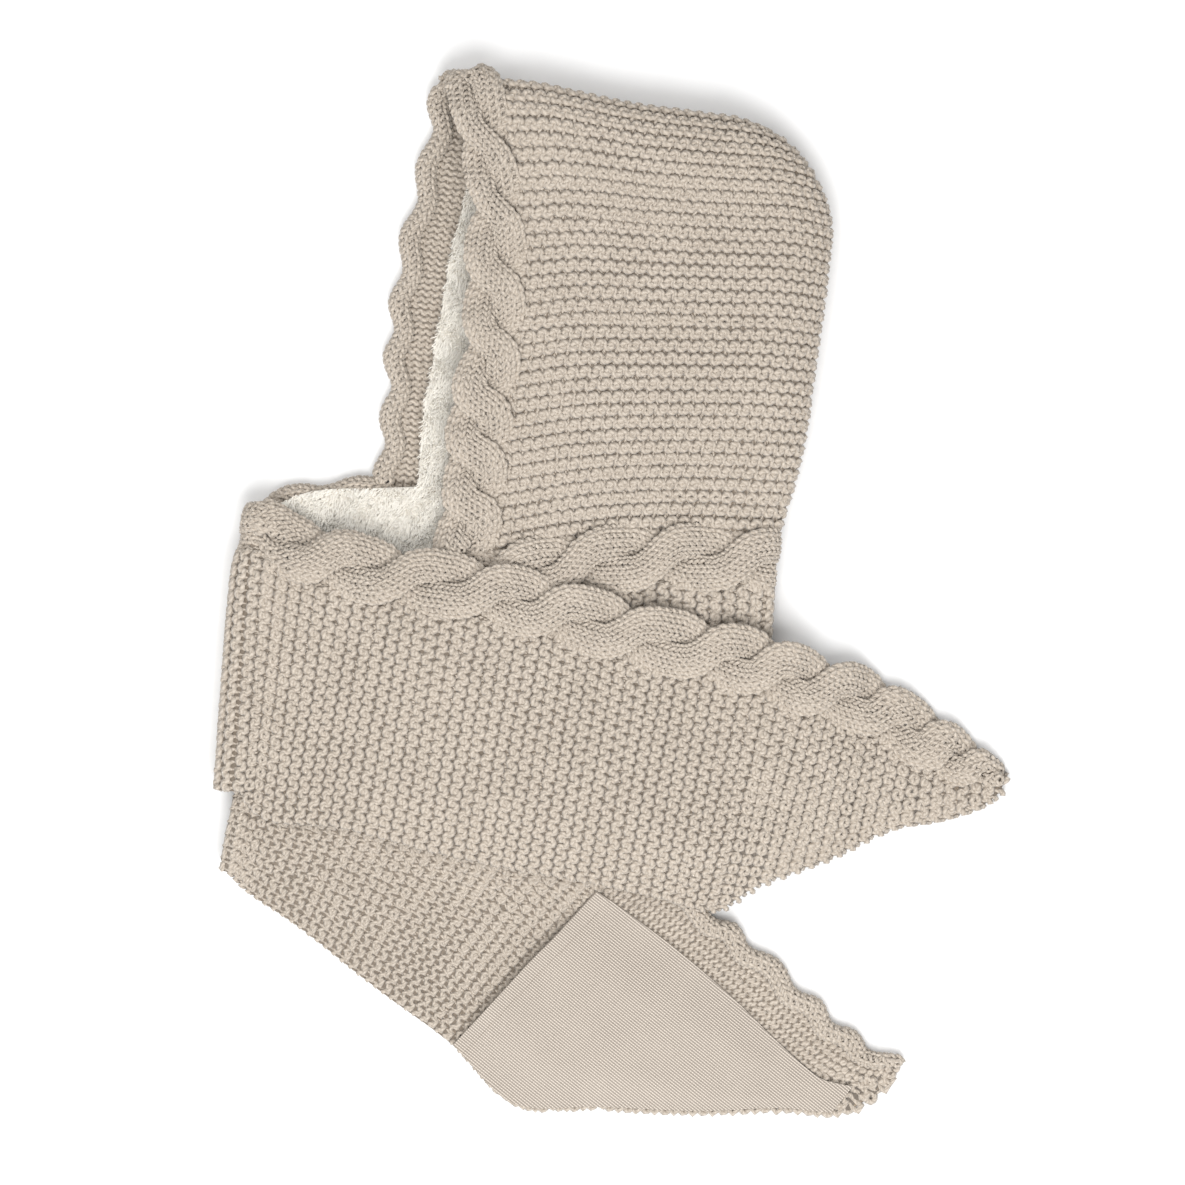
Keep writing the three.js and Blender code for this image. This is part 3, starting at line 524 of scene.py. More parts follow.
@dataclass
class Run:
    """Stations of one run of the strip, flat or round a fold.

    Attributes:
        edge: Cable ends of the stations.
        hem: Hem ends of the stations.
        at: Share of an arm at each station.
        phase: Cable lobes passed at each station, counted from the nape.
        level: Height of the cloth over plan points.
        mouth: Where the pocket's room begins on this run, if it has any.
        top: Height of the layer that a fold ends in.
        turn: How far round its fold each station is, in radians.
    """

    edge: Array
    hem: Array
    at: Array
    phase: Array
    level: Callable[[Array], Array]
    mouth: float | None = None
    top: Callable[[Array], Array] | None = None
    turn: Array | None = None

    def reversed(self) -> "Run":
        """The same stations in the other order."""
        turn = None if self.turn is None else self.turn[::-1]
        return Run(
            self.edge[::-1], self.hem[::-1], self.at[::-1], -self.phase[::-1],
            self.level, self.mouth, self.top, turn,
        )

    def widths(self) -> Array:
        """Length of each station from the cable edge to the hem."""
        return np.linalg.norm(self.hem - self.edge, axis=1)

    def cable_shares(self) -> Array:
        """Share of each station that the cable takes."""
        return np.minimum(CABLE_WIDTH / self.widths(), WIDEST_TIP_CABLE)

    def places(self, across: Array) -> Array:
        """Places at shares of each station from the cable edge to the hem."""
        spots = self.edge[:, None] + (self.hem - self.edge)[:, None] * across[..., None]
        if self.turn is None:
            heights = self.level(spots)
            if self.mouth is not None:
                cable = self.cable_shares()[:, None]
                in_band = np.clip((across - cable) / (1 - cable), 0, 1)
                heights = heights + pocket_room(self.at[:, None], self.mouth, in_band)
            return raised(spots, heights)
        outward = (self.edge - self.hem) / self.widths()[:, None]
        sideways = np.stack([-outward[:, 1], outward[:, 0]], axis=-1)[:, None]
        low = self.level(spots)
        radius = (self.top(spots) - low) / 2
        turn = self.turn[:, None]
        out, up = (
            np.sign(wave) * np.abs(wave) ** FOLD_SQUARENESS for wave in (np.sin(turn), np.cos(turn))
        )
        return raised(spots + sideways * (radius * out)[..., None], low + radius * (1 - up))


def pocket_room(at: Array, mouth: float, across: Array) -> Array:
    """Room that a pocket takes at shares of its arm and of the band."""
    depth = (at - mouth) / (POCKET_END_AT - mouth)
    before = smooth_step(-POCKET_LEAD, 0, depth)
    fade = np.where(depth < 0, before, 1 - np.clip(depth, 0, 1) ** 2)
    sides = smooth_step(0, POCKET_SIDE, across), smooth_step(0, POCKET_SIDE, 1 - across)
    return POCKET_ROOM * fade * sides[0] * sides[1]


class Layer(Enum):
    """The runs of the strip, in order from the near tip to the far tip."""

    NEAR_ARM = 0
    NEAR_FOLD = 1
    NEAR_LEG = 2
    FAR_LEG = 3
    FAR_FOLD = 4
    FAR_ARM = 5


class Strip:
    """The folded scarf strip from the tip of the near arm to the tip of the far arm."""

    STEP = 6.0
    FOLD_STEPS = 10
    BAND_COLUMNS = 18
    CABLE_COLUMNS = 9

    def __init__(self, lay: Lay) -> None:
        """Lay the six runs and their sheets."""
        self.lay = lay
        near_leg = self.leg(lay.near_leg, NECK_LOBES, lay.near_level)
        far_leg = self.leg(lay.far_leg, FAR_LEG_LOBES, lay.far_level)
        near_arm = self.arm(lay.near_arm, NEAR_ARM_LOBES, lay.near_arm_level, None)
        far_arm = self.arm(lay.far_arm, FAR_ARM_LOBES, lay.far_arm_level, FAR_MOUTH_AT)
        near_fold = self.fold(lay.near_leg, near_arm, lay.near_level, lay.near_arm_level)
        far_fold = self.fold(lay.far_leg, far_arm, lay.far_level, lay.far_arm_level)
        self.runs = [
            near_arm.reversed(), near_fold.reversed(), near_leg.reversed(),
            far_leg, far_fold, far_arm,
        ]
        self.layers = np.concatenate([
            np.full(len(run.at), layer.value) for layer, run in zip(Layer, self.runs)
        ])
        self.at = np.concatenate([run.at for run in self.runs])
        self.phase = np.concatenate([run.phase for run in self.runs])
        self.band = Sheet(self.grid(self.band_across))
        self.cable = Sheet(self.grid(self.cable_across))

    def leg(
        self, laid: LaidStretch, lobes: Sequence[float], level: Callable[[Array], Array]
    ) -> Run:
        """Stations of a leg, closer together at the nape."""
        turn = np.linspace(0, math.pi / 2, self.FOLD_STEPS)
        count = round((laid.length - ROLL_WIDTH) / self.STEP)
        rest = np.linspace(ROLL_WIDTH, laid.length, count + 1)[1:]
        reach = np.concatenate([ROLL_WIDTH * (1 - np.cos(turn)), rest])
        edge, hem = laid.lines_at(reach)
        phase = np.interp(reach, lobes, np.arange(len(lobes)))
        return Run(edge, hem, np.zeros_like(reach), phase, level)

    def arm(
        self, laid: LaidStretch, lobes: Sequence[float], level: Callable[[Array], Array],
        mouth: float | None,
    ) -> Run:
        """Stations of an arm."""
        count = round(laid.length / self.STEP)
        at = np.linspace(0, 1, count + 1)
        edge, hem = laid.lines_at(at * laid.length)
        phase = np.interp(at * laid.length, lobes, np.arange(len(lobes)))
        return Run(edge, hem, at, phase, level, mouth)

    def fold(
        self, laid: LaidStretch, arm: Run, low: Callable[[Array], Array],
        high: Callable[[Array], Array],
    ) -> Run:
        """Stations round the fold between a leg and its arm."""
        turn = np.linspace(0, math.pi, self.FOLD_STEPS + 1)[1:-1]
        edge, hem = (np.repeat(end[None], len(turn), axis=0) for end in laid.last)
        phase = np.full(len(turn), arm.phase[0])
        return Run(edge, hem, np.zeros_like(turn), phase, low, top=high, turn=turn)

    def band_across(self, run: Run) -> Array:
        """Shares across the stations for the garter stitch band."""
        cable = (run.cable_shares() + SEAM_GAP / run.widths())[:, None]
        return mix(cable, 1, np.linspace(0, 1, self.BAND_COLUMNS))

    def cable_across(self, run: Run) -> Array:
        """Shares across the stations for the cable."""
        return run.cable_shares()[:, None] * np.linspace(0, 1, self.CABLE_COLUMNS)

    def grid(self, across_of: Callable[[Run], Array]) -> Array:
        """Places of all runs at the shares that a function gives."""
        return np.concatenate([run.places(across_of(run)) for run in self.runs])

    def rows_of(self, layer: Layer) -> Array:
        """Row numbers of one run."""
        return np.flatnonzero(self.layers == layer.value)


def spread(count: int, power: float = 1.5) -> Array:
    """Shares from 0 to 1 that lie closer together toward 1."""
    return 1 - (1 - np.linspace(0, 1, count)) ** power


def fill_patch(bottom: Curve, top: Curve, front: Curve, back: Curve, a: Array, b: Array) -> Array:
    """Fill a patch between four curves.

    Args:
        bottom: Lower curve over a.
        top: Upper curve over a.
        front: Curve over b at a = 0.
        back: Curve over b at a = 1.
        a: Shares along the columns.
        b: Shares along the rows.

    Returns:
        Plan points in rows over b and columns over a.
    """
    across, along = a[None, :, None], b[:, None, None]
    ends = np.array([0.0, 1.0])
    low, high = bottom(ends), top(ends)
    between = mix(bottom(a)[None], top(a)[None], along)
    beside = mix(front(b)[:, None], back(b)[:, None], across)
    corners = mix(mix(low[0], low[1], across), mix(high[0], high[1], across), along)
    return between + beside - corners


class HoodPlan:
    """Plan curves of one half of the hood, with its face border and lining."""

    CROWN_GAP = 2.0
    NAPE_GAP = 2.0
    NAPE_STARTS_AT = 0.85
    CROWN_STEP = 1 / 480
    BACK_SAMPLES = 200

    def __init__(self, lay: Lay, leg: LaidStretch, rows: Sequence[Sequence[float]]) -> None:
        """Keep the half's tables.

        Args:
            lay: The cloth's plan and heights.
            leg: The leg whose cable edge the half is sewn to.
            rows: The half's face table.
        """
        self.lay = lay
        self.leg = leg
        self.rows = np.array(rows)
        first = lay.crown(np.array([0.0, CROWN_SEAM]))
        self.gap = CROWN_SEAM * self.CROWN_GAP / np.linalg.norm(first[1] - first[0])

    def edge(self, column: int, shift: float, top: Array, share: Array) -> Array:
        """One edge of the face opening.

        Args:
            column: The face table's column that gives how far forward the edge lies.
            shift: Millimetres that the edge moves toward the nape.
            top: The edge's upper end.
            share: Shares of its height.

        Returns:
            Plan points.
        """
        shares = np.append(self.rows[:, 0], 1.0)
        forward = np.append(-self.rows[:, column] * HOOD_DEPTH + shift, top[0])
        x = np.interp(share, shares, forward)
        foot = self.lay.neck_height(self.leg, forward[0])
        return np.stack([x, mix(foot, top[1], share)], axis=-1)

    def shell(self, a: Array, b: Array) -> Array:
        """Plan points of the hood's half."""
        start = CROWN_SEAM + self.gap / 2
        top = self.lay.crown(np.array(start))
        foot = self.edge(SEAM, SEAM_GAP / 2, top, np.array(0.0))

        def bottom(share: Array) -> Array:
            """Neck seam from the face to the nape."""
            x = mix(foot[0], 0, share)
            rise = (self.NAPE_GAP - SEAM_GAP) * smooth_step(self.NAPE_STARTS_AT, 1, share)
            return np.stack([x, self.lay.neck_height(self.leg, x) + rise], axis=-1)

        turns = np.linspace(1, ROW_CORNER, self.BACK_SAMPLES)
        climb = self.lay.crown(turns)[:, 1]

        def back(share: Array) -> Array:
            """Back fold from the nape to the corner, which the knitted rows reach level."""
            level = share * (1 - ROW_DROOP * share**2) / (1 - ROW_DROOP)
            lift = np.stack([np.zeros_like(share), self.NAPE_GAP * (1 - share)], axis=-1)
            return self.lay.crown(np.interp(level * climb[-1], climb, turns)) + lift

        return fill_patch(
            bottom,
            lambda share: self.lay.crown(mix(start, ROW_CORNER, share)),
            lambda share: self.edge(
                SEAM, SEAM_GAP / 2, top, share + ROW_LIFT * np.sin(math.pi * share)
            ),
            back, a, b,
        )

    def border(self, across: Array, share: Array) -> Array:
        """Plan points of the face border, in rows over share and columns over across."""
        end = CROWN_SEAM - self.gap / 2
        rim_top, seam_top = self.lay.crown(np.array([0.0, end]))
        rim = self.edge(RIM, 0, rim_top, share)[:, None]
        seam = self.edge(SEAM, -SEAM_GAP / 2, seam_top, share)[:, None]
        return mix(rim, seam, across[None, :, None])

    def lining_crown(self, share: Array) -> Array:
        """Crown line of the lining, inside the hood's own."""
        step = self.CROWN_STEP
        run = self.lay.crown(share + step) - self.lay.crown(share - step)
        run = unit(run)
        aside = np.stack([run[..., 1], -run[..., 0]], axis=-1)
        return self.lay.crown(share) + aside * LINING_INSET

    def lining(self, a: Array, b: Array) -> Array:
        """Plan points of the lining's half."""
        top = self.lining_crown(np.array(CROWN_SEAM))
        end = self.lining_crown(np.array(1.0))
        start = self.edge(FUR_EDGE, 0, top, np.array(0.0))
        foot = self.lay.neck_height(self.leg, np.array([start[0], end[0]]))

        def bottom(share: Array) -> Array:
            """Lower edge, which keeps the bow of the neck seam."""
            x = mix(start[0], end[0], share)
            bow = self.lay.neck_height(self.leg, x) - mix(foot[0], foot[1], share)
            return np.stack([x, mix(start[1], end[1], share) + bow], axis=-1)

        return fill_patch(
            bottom,
            lambda share: self.lining_crown(mix(CROWN_SEAM, CROWN_CORNER, share)),
            lambda share: self.edge(FUR_EDGE, 0, top, share),
            lambda share: self.lining_crown(mix(1, CROWN_CORNER, share)),
            a, b,
        )


def hood_plans(lay: Lay) -> tuple[HoodPlan, HoodPlan]:
    """Plans of the hood's near and far half."""
    return HoodPlan(lay, lay.near_leg, NEAR_FACE), HoodPlan(lay, lay.far_leg, FAR_FACE)


# Meshes


@dataclass
class MeshParts:
    """Corners, faces and texture places of one joined mesh, in millimetres."""

    corners: list[Array] = field(default_factory=list)
    faces: list[list[int]] = field(default_factory=list)
    texture: list[Array] = field(default_factory=list)
    count: int = 0

    def add(self, corners: Array, quads: Array, texture: Array) -> None:
        """Add corners with quads between them.

        Args:
            corners: Places, in millimetres.
            quads: Corner numbers, four in each row, counted from these corners' first.
            texture: Texture places for each quad's four corners.
        """
        self.corners.append(corners)
        self.faces.extend((quads + self.count).tolist())
        self.texture.append(texture.reshape(-1, 2))
        self.count += len(corners)

    def close(self, corners: Sequence[int], texture: Array) -> None:
        """Add one face over corners that are there already."""
        self.faces.append(list(corners))
        self.texture.append(texture)

    def piece(
        self, name: str, shift: Array, finish: bpy.types.Material, crisp: bool = False
    ) -> bpy.types.Object:
        """Make the piece's object.

        Args:
            name: Its name.
            shift: Where the nape point lies in the part's frame, in millimetres.
            finish: Its material.
            crisp: Whether its rims stay crisp.

        Returns:
            The object, which rides on the part's one body.
        """
        mesh = bpy.data.meshes.new(name)
        places = np.concatenate(self.corners) + shift
        places[:, 2] = np.maximum(places[:, 2], FLOOR_GAP)
        mesh.from_pydata(places * MM, [], self.faces)
        layer = mesh.uv_layers.new(name="cloth")
        layer.uv.foreach_set("vector", np.concatenate(self.texture).astype(np.float32).ravel())
        mesh.shade_smooth()
        if crisp:
            mesh.set_sharp_from_angle(angle=math.radians(60))
        mesh.materials.append(finish)
        piece = bpy.data.objects.new(name, mesh)
        bpy.context.scene.collection.objects.link(piece)
        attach(piece, "root")
        triangles = sum(len(face) - 2 for face in self.faces)
        log.info("%s: %d triangles", name, triangles)
        return piece


def grid_quads(rows: int, columns: int) -> Array:
    """Corner numbers of the quads of a grid."""
    first = (np.arange(rows - 1)[:, None] * columns + np.arange(columns - 1)).ravel()
    return np.stack([first, first + 1, first + columns + 1, first + columns], axis=1)


def grid_texture(lengths: Array, widths: Array) -> Array:
    """Texture places of the quads of a grid, from its running lengths and widths."""
    u, v = np.meshgrid(widths, lengths)
    places = np.stack([u, v], axis=-1).reshape(-1, 2)
    return places[grid_quads(len(lengths), len(widths))]


def add_slab(
    parts: MeshParts, sheet: Sheet, outer: Array, inner: Array, heading: float | None = None
) -> None:
    """Add a sheet with thickness, closed all round.

    Args:
        parts: The mesh that takes it.
        sheet: The cloth's middle.
        outer: Height of the outer face over it, as a number or for each place.
        inner: Depth of the inner face under it.
        heading: Plan direction of the cloth's texture, in degrees, or along the columns.
    """
    rows, columns = sheet.places.shape[:2]
    outer, inner = (np.broadcast_to(half, (rows, columns))[..., None] for half in (outer, inner))
    top = (sheet.places + sheet.normals * outer).reshape(-1, 3)
    bottom = (sheet.places - sheet.normals * inner).reshape(-1, 3)
    quads = grid_quads(rows, columns)
    lengths = sheet.row_lengths(columns // 2)
    widths = lengths_along(sheet.places[rows // 2])
    texture = grid_texture(lengths, widths)
    if heading is not None:
        angle = math.radians(heading)
        turned = np.array([[-math.sin(angle), math.cos(angle)], [math.cos(angle), math.sin(angle)]])
        texture = (sheet.places[..., :2].reshape(-1, 2) @ turned.T)[quads]
    under = rows * columns
    ring = np.concatenate([
        np.arange(columns), np.arange(2, rows) * columns - 1,
        rows * columns - 1 - np.arange(columns), np.arange(rows - 2, 0, -1) * columns,
    ])
    after = np.roll(ring, -1)
    rim = np.stack([ring, ring + under, after + under, after], axis=1)
    rim_texture = np.ones((len(rim), 4, 2))
    parts.add(
        np.concatenate([top, bottom]),
        np.concatenate([quads, quads[:, ::-1] + under, rim[:, ::-1]]),
        np.concatenate([texture, texture[:, ::-1], rim_texture]),
    )


def add_tube(parts: MeshParts, path: Array, normals: Array, radius: Array, sides: int) -> None:
    """Add a closed tube of yarn along a path.

    Args:
        parts: The mesh that takes it.
        path: Points of its middle line.
        normals: The cloth's normals at those points.
        radius: Its radius, as a number or at each point.
        sides: Corners of its section.
    """
    tangents = unit(np.gradient(path, axis=0))
    aside = unit(np.cross(tangents, normals))
    upward = np.cross(aside, tangents)
    angles = 2 * math.pi * np.arange(sides) / sides
    radius = np.broadcast_to(radius, len(path))[:, None, None]
    ring = np.cos(angles)[:, None] * aside[:, None] + np.sin(angles)[:, None] * upward[:, None]
    corners = (path[:, None] + radius * ring).reshape(-1, 3)
    count = len(path)
    here = np.arange(count - 1)[:, None] * sides + np.arange(sides)
    there = np.arange(count - 1)[:, None] * sides + (np.arange(sides) + 1) % sides
    quads = np.stack([here, there, there + sides, here + sides], axis=-1).reshape(-1, 4)
    along = lengths_along(path)
    u = np.arange(sides + 1) / sides
    texture = np.empty((count - 1, sides, 4, 2))
    texture[..., 0] = np.stack([u[:-1], u[1:], u[1:], u[:-1]], axis=-1)
    texture[..., 0:2, 1] = along[:-1, None, None]
    texture[..., 2:4, 1] = along[1:, None, None]
    start = parts.count
    parts.add(corners, quads, texture)
    cap = np.stack([u[:-1], np.zeros(sides)], axis=-1)
    parts.close(range(start + sides - 1, start - 1, -1), cap)
    parts.close(range(start + (count - 1) * sides, start + count * sides), cap)


# Knitting


class Stitch(Enum):
    """How a course's loops pass through those of its neighbours."""

    GARTER = "garter"
    STOCKINETTE = "stockinette"
    PURL = "purl"


@dataclass(frozen=True)
class Gauge:
    """Size of the loops of a knit, in millimetres.

    Attributes:
        stitch: How the loops pass through each other.
        width: Width of a stitch.
        course: Height of a course.
        yarn: Thickness of the yarn.
        reach: How far a loop goes up and down from the middle of its course.
        swing: How far a loop widens at its head and foot.
        depth: How far a loop goes in and out of the cloth.
        points: Points on the yarn in each stitch.
        sides: Corners of the yarn's section.
    """

    stitch: Stitch
    width: float
    course: float
    yarn: float
    reach: float
    swing: float
    depth: float
    points: int = 10
    sides: int = 4


HOOD_GARTER = Gauge(Stitch.GARTER, 8.85, 4.7, 4.8, 4.9, 1.75, 2.1, points=9)
SCARF_GARTER = Gauge(Stitch.GARTER, 9.3, 4.7, 4.9, 4.9, 1.8, 2.0, points=9)
CABLE_KNIT = Gauge(Stitch.STOCKINETTE, 6.4, 4.9, 3.5, 3.8, 1.75, 1.5)
GROUND_KNIT = Gauge(Stitch.STOCKINETTE, 6.4, 4.9, 3.6, 3.8, 1.75, 1.5, points=8, sides=3)
REVERSE_KNIT = Gauge(Stitch.PURL, 5.9, 4.8, 3.9, 3.3, 1.3, 1.3)


@dataclass
class Knitter:
    """Lays yarn over sheets, course by course.

    Attributes:
        seed: Seed of the small unevenness of hand knitting.
    """

    STOPS = 40
    PROBE = 3
    STRETCH_LIMITS = (0.8, 1.35)
    UNEVEN_ACROSS = 0.3
    UNEVEN_ALONG = 0.07
    UNEVEN_HEIGHT = 0.2
    START_SPREAD = 0.9

    seed: int = 7
    rng: np.random.Generator = field(init=False)

    def __post_init__(self) -> None:
        """Seed the unevenness."""
        self.rng = np.random.default_rng(self.seed)

    def turns(self, even: Array, stitch: Stitch, parity: int) -> Array:
        """Crowd the points of a course where its loops come to the front.

        Args:
            even: Evenly spaced turns, in radians.
            stitch: How the loops pass through each other.
            parity: 1 or -1, turn and turn about.

        Returns:
            The turns, still in order.
        """
        if stitch is Stitch.GARTER:
            return even - parity * 0.5 * np.sin(even)
        if stitch is Stitch.STOCKINETTE:
            return even + 0.1 * np.sin(2 * even)
        return even - 0.3 * np.sin(2 * even)

    def course(
        self, parts: MeshParts, sheet: Sheet, gauge: Gauge, lengths: Array, middle: float,
        columns: tuple[float, float], parity: int,
    ) -> None:
        """Lay one course of loops.

        Args:
            parts: The mesh that takes the yarn.
            sheet: The cloth.
            gauge: The loops' size.
            lengths: Running length of the sheet at each of its rows.
            middle: Length at which the course lies.
            columns: First and last column of the course.
            parity: 1 or -1, turn and turn about.
        """
        rows = np.arange(sheet.last_row + 1)
        stops = np.linspace(*columns, self.STOPS)
        line, normals = sheet.spot(np.interp(middle, lengths, rows), stops, 0)
        reach = lengths_along(line)
        count = round(reach[-1] / gauge.width)
        if count < 1:
            return
        total = count * gauge.points + 1
        turn = self.turns(2 * math.pi * np.arange(total) / gauge.points, gauge.stitch, parity)
        uneven = self.rng.normal(0, 1, (3, count + 2))
        stitch = turn / (2 * math.pi)
        across_wave, along_wave, height_wave = (
            np.interp(stitch, np.arange(count + 2) - 0.5, row) for row in uneven
        )
        width = reach[-1] / count
        across = width * stitch + gauge.swing * np.sin(2 * turn)
        across = np.clip(across + self.UNEVEN_ACROSS * across_wave, 0, reach[-1])
        along = gauge.reach * np.cos(turn) * (1 + self.UNEVEN_ALONG * along_wave)
        if gauge.stitch is Stitch.GARTER:
            height = parity * gauge.depth * np.cos(turn)
        else:
            height = -gauge.depth * np.cos(2 * turn)
        height = height + self.UNEVEN_HEIGHT * height_wave
        ahead = unit(np.cross(normals, np.gradient(line, axis=0)))
        above, below = (
            sheet.spot(np.interp(middle + step, lengths, rows), stops, 0)[0]
            for step in (self.PROBE, -self.PROBE)
        )
        span = np.minimum(middle + self.PROBE, lengths[-1]) - max(middle - self.PROBE, 0)
        local = np.clip(((above - below) * ahead).sum(-1) / span, *self.STRETCH_LIMITS)
        base, outer, forward = (
            np.stack([np.interp(across, reach, part) for part in grid.T], axis=-1)
            for grid in (line, normals, ahead * local[:, None])
        )
        path = base + forward * along[:, None] + outer * height[:, None]
        radius = gauge.yarn / 2 * np.interp(across, reach, local)
        add_tube(parts, path, outer, radius, gauge.sides)

    def cloth(
        self, parts: MeshParts, sheet: Sheet, gauge: Gauge, lengths: Array,
        span: tuple[float, float],
        ranges: Callable[[float], list[tuple[float, float]]] | None = None,
    ) -> None:
        """Lay the courses of a stretch of cloth.

        Args:
            parts: The mesh that takes the yarn.
            sheet: The cloth.
            gauge: The loops' size.
            lengths: Running length of the sheet at each of its rows.
            span: Lengths between which the courses lie.
            ranges: Gives the columns that show at a course's length, or else all do.
        """
        whole = [(0.0, float(sheet.last_column))]
        count = max(round((span[1] - span[0]) / gauge.course), 1)
        for index in range(count):
            middle = mix(span[0], span[1], (index + 0.5) / count)
            if index % 2 == 0:
                start = self.rng.uniform(0.0, self.START_SPREAD)
            for first, last in ranges(middle) if ranges else whole:
                first = start if first == 0 and gauge.stitch is Stitch.GARTER else first
                self.course(
                    parts, sheet, gauge, lengths, middle, (first, last), 1 - 2 * (index % 2)
                )


@dataclass(frozen=True)
class Cable:
    """The cloth that a cable is knitted on.

    Attributes:
        sheet: Its sheet, from the outer edge to the seam.
        lengths: Running length of the sheet at each of its rows.
        phase: Cable lobes passed at each row.
    """

    sheet: Sheet
    lengths: Array
    phase: Array

    def part(self, rows: slice) -> "Cable":
        """Some of its rows."""
        lengths = self.lengths[rows]
        return Cable(Sheet(self.sheet.places[rows]), lengths - lengths[0], self.phase[rows])


@dataclass(frozen=True)
class Rope:
    """The two strands of a cable, which cross over each other and back.

    Attributes:
        width: Width of one strand.
        squeeze: How much narrower a strand is where it crosses.
        sway: How far a strand's middle moves to each side.
        lift: How far the strand on top stands over the other's middle, halved.
        rise: How far the pair stands over the middle of the cloth.
        dome: How much higher a strand's middle is than its edges.
        outset: How far the rope lies toward the cable's outer edge.
        haste: How much faster the strands cross than they lie side by side.
        fold_share: Share of their height that is left where the cloth turns over.
    """

    STEP = 3.0
    COLUMNS = 9
    LEAST_SHARE = 0.3
    DOME_MIDDLE = 0.6
    DOME_POWER = 2.8
    CROSSING = 2
    GROUND_AT = 0.2
    GROUND_DEPTH = 0.6

    width: float = 24.0
    squeeze: float = 1.2
    sway: float = 11.9
    lift: float = 4.2
    rise: float = 3.0
    dome: float = 4.6
    outset: float = 0.6
    haste: float = 0.6
    fold_share: float = 0.15

    def strand(self, cable: Cable, side: int) -> Sheet:
        """Lay one strand over a cable's sheet.

        Args:
            cable: The cable.
            side: 1 or -1, one for each strand.

        Returns:
            The strand's own sheet.
        """
        sheet, lengths = cable.sheet, cable.lengths
        stops = np.arange(lengths[0], lengths[-1], self.STEP)
        widths = sheet.widths()
        share = np.clip(np.interp(stops, lengths, widths) / CABLE_WIDTH, self.LEAST_SHARE, 1)
        turns = np.interp(stops, lengths, cable.phase)
        hasty = turns + self.haste * np.sin(2 * math.pi * turns) / (2 * math.pi)
        across = (side * self.sway * np.cos(math.pi * (hasty - 0.5)) + self.outset) * share
        facing = np.interp(stops, lengths, sheet.normals[:, sheet.last_column // 2, 2])
        full = mix(self.fold_share, 1, np.clip(facing, 0, 1))
        crossing = np.tanh(self.CROSSING * np.cos(math.pi * turns))
        lift = full * (self.rise + side * self.lift * crossing)
        slope = np.gradient(across, stops)
        length = np.sqrt(1 + slope**2)
        steps = np.linspace(-1, 1, self.COLUMNS)
        dome = self.DOME_MIDDLE - np.abs(steps) ** self.DOME_POWER
        width = (self.width - self.squeeze * np.cos(2 * math.pi * turns)) * share
        offsets = steps * width[:, None] / 2
        rows = stops[:, None] - offsets * (slope / length)[:, None]
        places = across[:, None] + offsets / length[:, None]
        height = lift[:, None] + full[:, None] * self.dome * dome
        columns = (0.5 - places / np.interp(rows, lengths, widths)) * sheet.last_column
        spots, _ = sheet.spot(
            np.interp(rows, lengths, np.arange(len(lengths))), columns, height
        )
        return Sheet(spots[:, ::-1])

    def knit(self, knitter: Knitter, cable: Cable, span: tuple[float, float]) -> MeshParts:
        """Knit both strands and the ground beside their seam.

        Args:
            knitter: Lays the yarn.
            cable: The cable.
            span: Lengths between which it is knitted.

        Returns:
            The yarn.
        """
        parts = MeshParts()
        sheet, lengths = cable.sheet, cable.lengths
        for side in (1, -1):
            strand = self.strand(cable, side)
            run = strand.row_lengths(self.COLUMNS // 2)
            ends = np.interp(span, np.arange(lengths[0], lengths[-1], self.STEP), run)
            knitter.cloth(parts, strand, CABLE_KNIT, run, tuple(ends))
        ground = (self.GROUND_AT * sheet.last_column, float(sheet.last_column))
        below = sheet.lowered(self.GROUND_DEPTH)
        knitter.cloth(parts, below, GROUND_KNIT, lengths, span, lambda middle: [ground])
        return parts


@dataclass(frozen=True)
class Rim:
    """The rolled edge of a cable that shows its inner side.

    Attributes:
        radius: Radius of the roll.
        girth: Share of it that the roll has between two lobes.
        swell: Share that it gains in a lobe.
        lift: Height of the roll's middle over the cloth.
        swing: How far a lobe moves it outward.
        rest: Share of a lobe at which it isn't moved.
        arc: First and last turn of the roll, in degrees.
        columns: Columns round the roll.
        band_at: Share of the cable at which the flat cloth begins.
        band: Whether that flat cloth shows.
    """

    LEAST_SHARE = 0.5

    radius: float = 5.4
    girth: float = 0.95
    swell: float = 0.1
    lift: float = 2.5
    swing: float = 7.2
    rest: float = 0.6
    arc: tuple[float, float] = (190, -80)
    columns: int = 15
    band_at: float = 0.24
    band: bool = True

    def knit(self, knitter: Knitter, cable: Cable, span: tuple[float, float]) -> MeshParts:
        """Knit the roll and the flat cloth beside it.

        Args:
            knitter: Lays the yarn.
            cable: The cable.
            span: Lengths between which it is knitted.

        Returns:
            The yarn.
        """
        sheet, lengths = cable.sheet, cable.lengths
        lobe = (0.5 - 0.5 * np.cos(2 * math.pi * cable.phase))[:, None]
        share = np.clip(sheet.widths() / CABLE_WIDTH, self.LEAST_SHARE, 1)[:, None]
        radius = self.radius * (self.girth + self.swell * lobe) * share
        outward, inward = sheet.outward(), -sheet.normals[:, 0]
        swing = self.swing * (lobe - self.rest) * share
        centre = sheet.places[:, 0] + outward * (swing - radius) + inward * self.lift
        turn = np.radians(np.linspace(*self.arc, self.columns))[:, None]
        roll = Sheet(centre[:, None] + radius[:, None] * (
            np.cos(turn) * outward[:, None] + np.sin(turn) * inward[:, None]
        ))
        parts = MeshParts()
        knitter.cloth(parts, roll, CABLE_KNIT, lengths, span)
        if self.band:
            flat = (self.band_at * sheet.last_column, float(sheet.last_column))
            knitter.cloth(parts, sheet, REVERSE_KNIT, lengths, span, lambda middle: [flat])
        return parts


# Finishes


